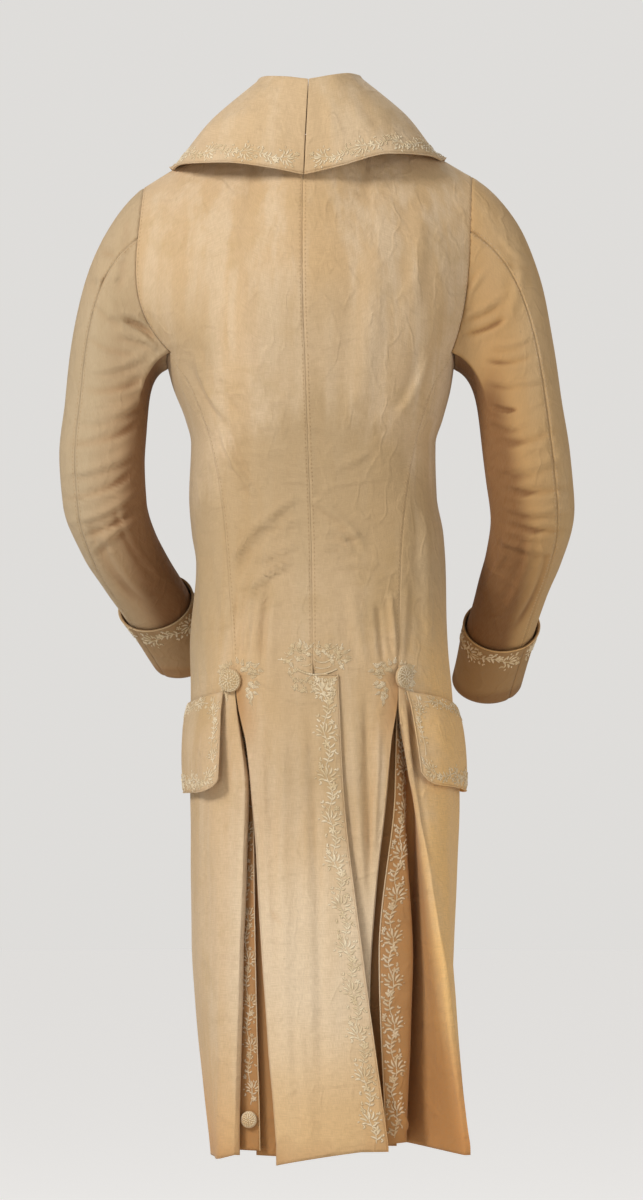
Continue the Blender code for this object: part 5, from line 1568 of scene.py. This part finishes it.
def bow(x0, x1, y, sag, thick):
    """A cord that hangs between two points of the picture, in short overlapping stitches."""
    made = []
    for x in np.arange(x0, x1, 2.2):
        t = (x - x0) / (x1 - x0)
        slope = math.degrees(math.atan2(sag * 4 * (1 - 2 * t) / (x1 - x0), 1.0))
        b = (y + sag * 4 * t * (1 - t) - hip_row) * PIXEL + 40
        made.append(((x - MIDDLE_COLUMN) * PIXEL + 44, b, 90 - slope, 3.4, thick, thick * 0.8))
    return made


hip_row = NECK_ROW - HIP_Z / PIXEL
places = np.arange(-44.0, 45.0)
above = by_place([band(shaped["back_" + side][1][::-1][:30], 44) for side in SIDES], places)
below = by_place([band(shaped["back_left"][2][:34], 72)], places)
head = [np.concatenate((over[39:0:-1], under)) for over, under in zip(above, below)]
garland = sprigs((
    (286, 662, 120, 6.5), (289, 655, 150, 7.0), (293, 651, 190, 6.5), (298, 648, 160, 7.5),
    (302, 652, 120, 6.0), (307, 648, 200, 6.5), (296, 657, 60, 6.0), (290, 661, 30, 5.5),
    (318, 648, 170, 6.5), (324, 647, 120, 7.0), (329, 650, 200, 6.5), (334, 653, 150, 7.0),
    (339, 655, 190, 6.0), (343, 653, 120, 6.5), (337, 660, 60, 6.0), (331, 658, 20, 5.5),
    (326, 654, 80, 6.0), (320, 654, 230, 5.5), (343, 660, 90, 5.5), (304, 657, 260, 5.5),
    (292, 677, 60, 6.5), (295, 682, 20, 6.0), (299, 679, 70, 6.5), (303, 685, 30, 6.5),
    (308, 681, 90, 6.0), (312, 687, 50, 6.5), (318, 684, 100, 6.5), (322, 690, 40, 6.5),
    (327, 684, 120, 6.5), (330, 690, 10, 6.5), (333, 680, 140, 6.0), (315, 678, 90, 5.0),
    (323, 679, 80, 5.0), (294, 672, 150, 5.5), (283, 659, 80, 5.5), (287, 653, 100, 6.0),
    (291, 647, 140, 6.0), (296, 650, 100, 6.0), (301, 645, 190, 6.0), (306, 653, 80, 5.5),
    (310, 647, 140, 5.5), (315, 650, 60, 5.5), (321, 651, 110, 6.0), (327, 654, 60, 5.5),
    (332, 648, 130, 6.0), (336, 657, 110, 5.5), (341, 650, 170, 6.0), (345, 656, 80, 5.5),
    (340, 664, 40, 5.0), (289, 669, 20, 5.5), (293, 687, 70, 5.0), (300, 690, 100, 5.0),
    (306, 679, 130, 5.5), (314, 683, 10, 6.0), (325, 686, 60, 6.0), (331, 685, 30, 6.0),
    (334, 690, 350, 6.0), (328, 679, 100, 5.0), (320, 694, 20, 5.5),
))
cords_of_head = []
for x0, x1, y, sag, thick in (
        (297, 336, 668.5, 5.2, 1.9), (314, 331, 658.5, 3.2, 1.2), (315, 329, 666.0, 1.6, 1.0),
        (300, 311, 663.0, 2.0, 1.1), (278, 286, 658.5, 0.3, 0.8), (340, 349, 659.5, 0.3, 0.8)):
    cords_of_head += bow(x0, x1, y, sag, thick)
stitched("embroidery_vent_head", [(head, garland + cords_of_head)], thread)

spray = []
for a, b, angle, size in ((7, 4, 70, 6), (12, 3, 30, 6.5), (17, 6, 110, 6.5), (22, 8, 60, 6.5),
                          (27, 5, 100, 5.5), (21, 1, 90, 6), (15, 0.5, 80, 5.5), (9, 9, 20, 6.5),
                          (14, 10, 60, 6), (5, 11, 350, 6), (19, 11, 90, 5)):
    spray += twig(a, b, angle, size, 3)
spray += flower(11, 6, 2.6) + flower(24, 4, 2.4, 30) + flower(17, 9, 2.4, 50)
lower_spray = []
for a, b, angle, size in ((18, 3, 100, 6), (22, 7, 60, 6), (15, 8, 40, 6.5), (19, 12, 80, 6),
                          (16, 17, 20, 6.5), (13, 13, 10, 6), (17, 22, 350, 6), (20, 18, 60, 5),
                          (12, 20, 20, 5), (15, 27, 10, 5)):
    lower_spray += twig(a, b, angle, size, 3)
lower_spray += flower(19, 9, 2.6) + flower(15, 15, 2.4, 30)
front_spray = [(a * 0.6 + 1, b * 0.8, *rest) for a, b, *rest in spray]
front_lower = [(a * 0.7, b * 0.8 + 1, *rest) for a, b, *rest in lower_spray]
work = []
for side in SIDES:
    work.append((band(shaped["back_" + side][1][::-1, ::-1][:30], 40), spray))
    work.append((band(shaped["back_" + side][2][:30, ::-1], 40), lower_spray))
    work.append((band(shaped["front_" + side][2][::-1][:30], 34), front_spray))
    work.append((band(shaped["front_" + side][3][:24], 34), front_lower))
stitched("embroidery_hips", work, thread)

# Seam stitches: short running stitches of cotton thread beside the middle and side-back seams and the
# hind-arm seam, by which the turnings inside are held flat.
stitch_look = cotton("seam thread", 0.35)
work = []


def stitch_rows(strip, inset=2.6, pitch=4.4):
    """Running stitches at one distance from a strip's edge."""
    return [(inset, b, 3.0, 2.3, 0.8, 0.45) for b in np.arange(3.0, len(strip[0]) - 4, pitch)]


for side in SIDES:
    back, top = shaped["back_" + side], shaped["sleeve_top_" + side][0]
    under = shaped["sleeve_under_" + side][0]
    for grid in (back[0][6:], back[1], back[0][:, ::-1], back[1][:, ::-1]):
        strip = band(grid, 6)
        work.append((strip, stitch_rows(strip)))
    for grid in (top[:, ::-1], under):
        strip = band(grid, 6, grid.reshape(-1, 3).mean(axis=0)[:2])
        work.append((strip, stitch_rows(strip)))
stitched("seam_stitches", work, stitch_look)

# Bands round each pocket flap, along the top of each cuff and round the collar: the same floral band in a
# narrower width, worked in cream thread along the edges before each piece was lined.
work = []
for side in SIDES:
    grid = shaped["flap_" + side][0]
    low = band(grid[::-1].transpose(1, 0, 2), 26)
    near = band(grid, 22)
    far = band(grid[:, ::-1], 22)
    work.append((low, [(a + 2.5, *rest) for a, *rest in running_band(len(low[0]) - 4, 17, 3.0)]))
    work.append((near, [(a + 2.5, *rest) for a, *rest in running_band(len(near[0]) - 22, 13, 3.0)]))
    work.append((far, [(a + 2.5, *rest) for a, *rest in running_band(len(far[0]) - 22, 13, 3.0)]))
    upper = band(grid.transpose(1, 0, 2), 22)
    work.append((upper, [(a + 2.0, *rest) for a, *rest in running_band(len(upper[0]) - 20, 13, 18.0)]))
stitched("embroidery_pocket_flaps", work, thread)
work = []
for side in SIDES:
    grid = shaped["cuff_" + side][0]
    middle = grid.reshape(-1, 3).mean(axis=0)
    strip = band(grid.transpose(1, 0, 2), 34, middle[:2])
    work.append((strip, [(a + 4.0, *rest) for a, *rest in running_band(len(strip[0]) - 2, 22, 2.0)]))
stitched("embroidery_cuffs", work, thread)
work = []
for side in SIDES:
    strip = band(shaped["collar_" + side][0][::-1].transpose(1, 0, 2), 30)
    work.append((strip, [(a + 4.0, *rest) for a, *rest in running_band(len(strip[0]) - 4, 17, 5.0)]))
stitched("embroidery_collar", work, thread)

# Buttons: flat wooden moulds covered in the cotton and worked with a rosette, at the hips and the foot of the
# left pleat, and plain ones down the front.
BUTTON_HEIGHT = 6.0
for name, worked, radius in (
    ("hip_button_left", True, 12.4), ("hip_button_right", True, 12.4), ("pleat_button_left", True, 9.0),
    ("front_button_1", False, 9.0), ("front_button_2", False, 9.0), ("front_button_3", False, 9.0),
    ("front_button_4", False, 9.0), ("front_button_5", False, 9.0), ("front_button_6", False, 9.0),
):
    low, high = (np.array(corner) * 1000 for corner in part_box(name))
    middle = (low + high) / 2
    if name.startswith("hip"):
        way = np.array((-0.45, -1.0, 0.0) if name.endswith("left") else (0.95, -0.85, 0.0))
    elif name.startswith("pleat"):
        way = np.array((-0.25, -1.0, 0.0))
    else:
        way = np.array((0.05, 1.0, 0.45 if name.endswith("_1") else 0.15 if name.endswith("_2") else 0.0))
    way /= np.linalg.norm(way)
    over = np.cross(way, (0, 0, 1.0))
    over /= np.linalg.norm(over)
    up = np.cross(over, way)
    # A domed disc: a profile of nine radii and heights, turned round the button's axis
    size = np.array((0.0, 0.30, 0.55, 0.76, 0.90, 0.98, 1.0, 0.97, 0.88))[:, None]
    tall = np.array((1.0, 0.985, 0.93, 0.84, 0.71, 0.54, 0.36, 0.18, 0.02))[:, None]
    turn = np.linspace(0, 2 * math.pi, 49)[None]
    foot = middle - way * BUTTON_HEIGHT / 2
    fluted = 1 + (0.012 * np.cos(24 * turn) if worked else 0 * turn) * size
    spoke = over * np.cos(turn)[..., None] + up * np.sin(turn)[..., None]
    disc = foot + spoke * (radius * size * fluted)[..., None]
    disc = disc + way * (BUTTON_HEIGHT * tall + 0 * turn)[..., None]
    disc[0] = disc[0, 0]
    mesh = bpy.data.meshes.new(name)
    index = np.arange(9 * 49).reshape(9, 49)
    faces = np.stack((index[:-1, :-1], index[1:, :-1], index[1:, 1:], index[:-1, 1:]), axis=-1).reshape(-1, 4)
    mesh.from_pydata((disc.reshape(-1, 3) * 0.001).tolist(), [], faces.tolist())
    mesh.polygons.foreach_set("use_smooth", np.ones(len(faces), bool))
    mesh.uv_layers.new(name="cloth")
    mesh.materials.append(trim_look)
    thing = bpy.data.objects.new(name + "_cover", mesh)
    bpy.context.collection.objects.link(thing)
    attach(thing, "root")
    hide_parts(name)
    if worked:
        at = np.arange(0, 2 * radius + 1.0) - radius
        a, b = np.meshgrid(at, at)
        far = np.clip(np.hypot(a, b) / radius, 0, 1)
        dome = np.interp(far, size[:7, 0], tall[:7, 0]) * BUTTON_HEIGHT
        strip = foot + over * a[..., None] + up * b[..., None] + way * dome[..., None]
        field = np.broadcast_to(way, strip.shape)
        rows = []
        for ring_share, count, turned, long, wide in (
            (0.10, 7, 10, 0.34, 0.15), (0.40, 13, 28, 0.32, 0.13), (0.72, 20, 70, 0.30, 0.11),
            (0.90, 26, 88, 0.22, 0.10)):
            for k in range(count):
                bend = 2 * math.pi * k / count
                across, along = 1 + ring_share * math.sin(bend), 1 + ring_share * math.cos(bend)
                rows.append((radius * across, radius * along, math.degrees(bend) + turned,
                             radius * long, radius * wide, 0.8))
        stitched("embroidery_" + name, [((strip, field), rows)], thread)

# Corded edges: a fine cord covered in the cotton, sewn along the vent's edge, the pleats' edges, the flaps,
# the tops of the cuffs and the collar.
cords = [
    (shaped["back_left"][2][:, 0], 0.75), (shaped["front_left"][5][:, 0], 0.7),
    (shaped["front_right"][5][:, 0], 0.7), (shaped["back_left"][2][0, :12], 0.75),
]
for side in SIDES:
    grid = shaped["flap_" + side][0]
    cords.append((np.concatenate((grid[:, 0], grid[-1, 1:-1], grid[::-1, -1])), 0.8))
    cords.append((shaped["cuff_" + side][0][0], 0.8))
    cords.append((shaped["collar_" + side][0][-1], 0.8))
# Each is a six-sided tube: a small circle square to the edge at each of its points
points, faces, start = [], [], 0
for line, radius in cords:
    way = np.gradient(line, axis=0)
    way /= np.maximum(np.linalg.norm(way, axis=1, keepdims=True), 1e-9)
    one = np.cross(way, (0.31, 0.84, 0.44))
    one /= np.linalg.norm(one, axis=1, keepdims=True)
    two = np.cross(way, one)
    turn = np.linspace(0, 2 * math.pi, 7)[:-1]
    ring = one[:, None] * np.cos(turn)[:, None] + two[:, None] * np.sin(turn)[:, None]
    ring = line[:, None] + radius * ring
    count = len(line)
    index = start + np.arange(count * 6).reshape(count, 6)
    beside = np.roll(index, -1, axis=1)
    faces.append(np.stack((index[:-1], beside[:-1], beside[1:], index[1:]), axis=-1).reshape(-1, 4))
    points.append(ring.reshape(-1, 3))
    start += count * 6
points, faces = np.concatenate(points), np.concatenate(faces)
mesh = bpy.data.meshes.new("corded_edges")
mesh.from_pydata((points * 0.001).tolist(), [], faces.tolist())
mesh.polygons.foreach_set("use_smooth", np.ones(len(faces), bool))
mesh.uv_layers.new(name="cloth")
mesh.materials.append(trim_look)
thing = bpy.data.objects.new("corded_edges", mesh)
bpy.context.collection.objects.link(thing)
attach(thing, "root")
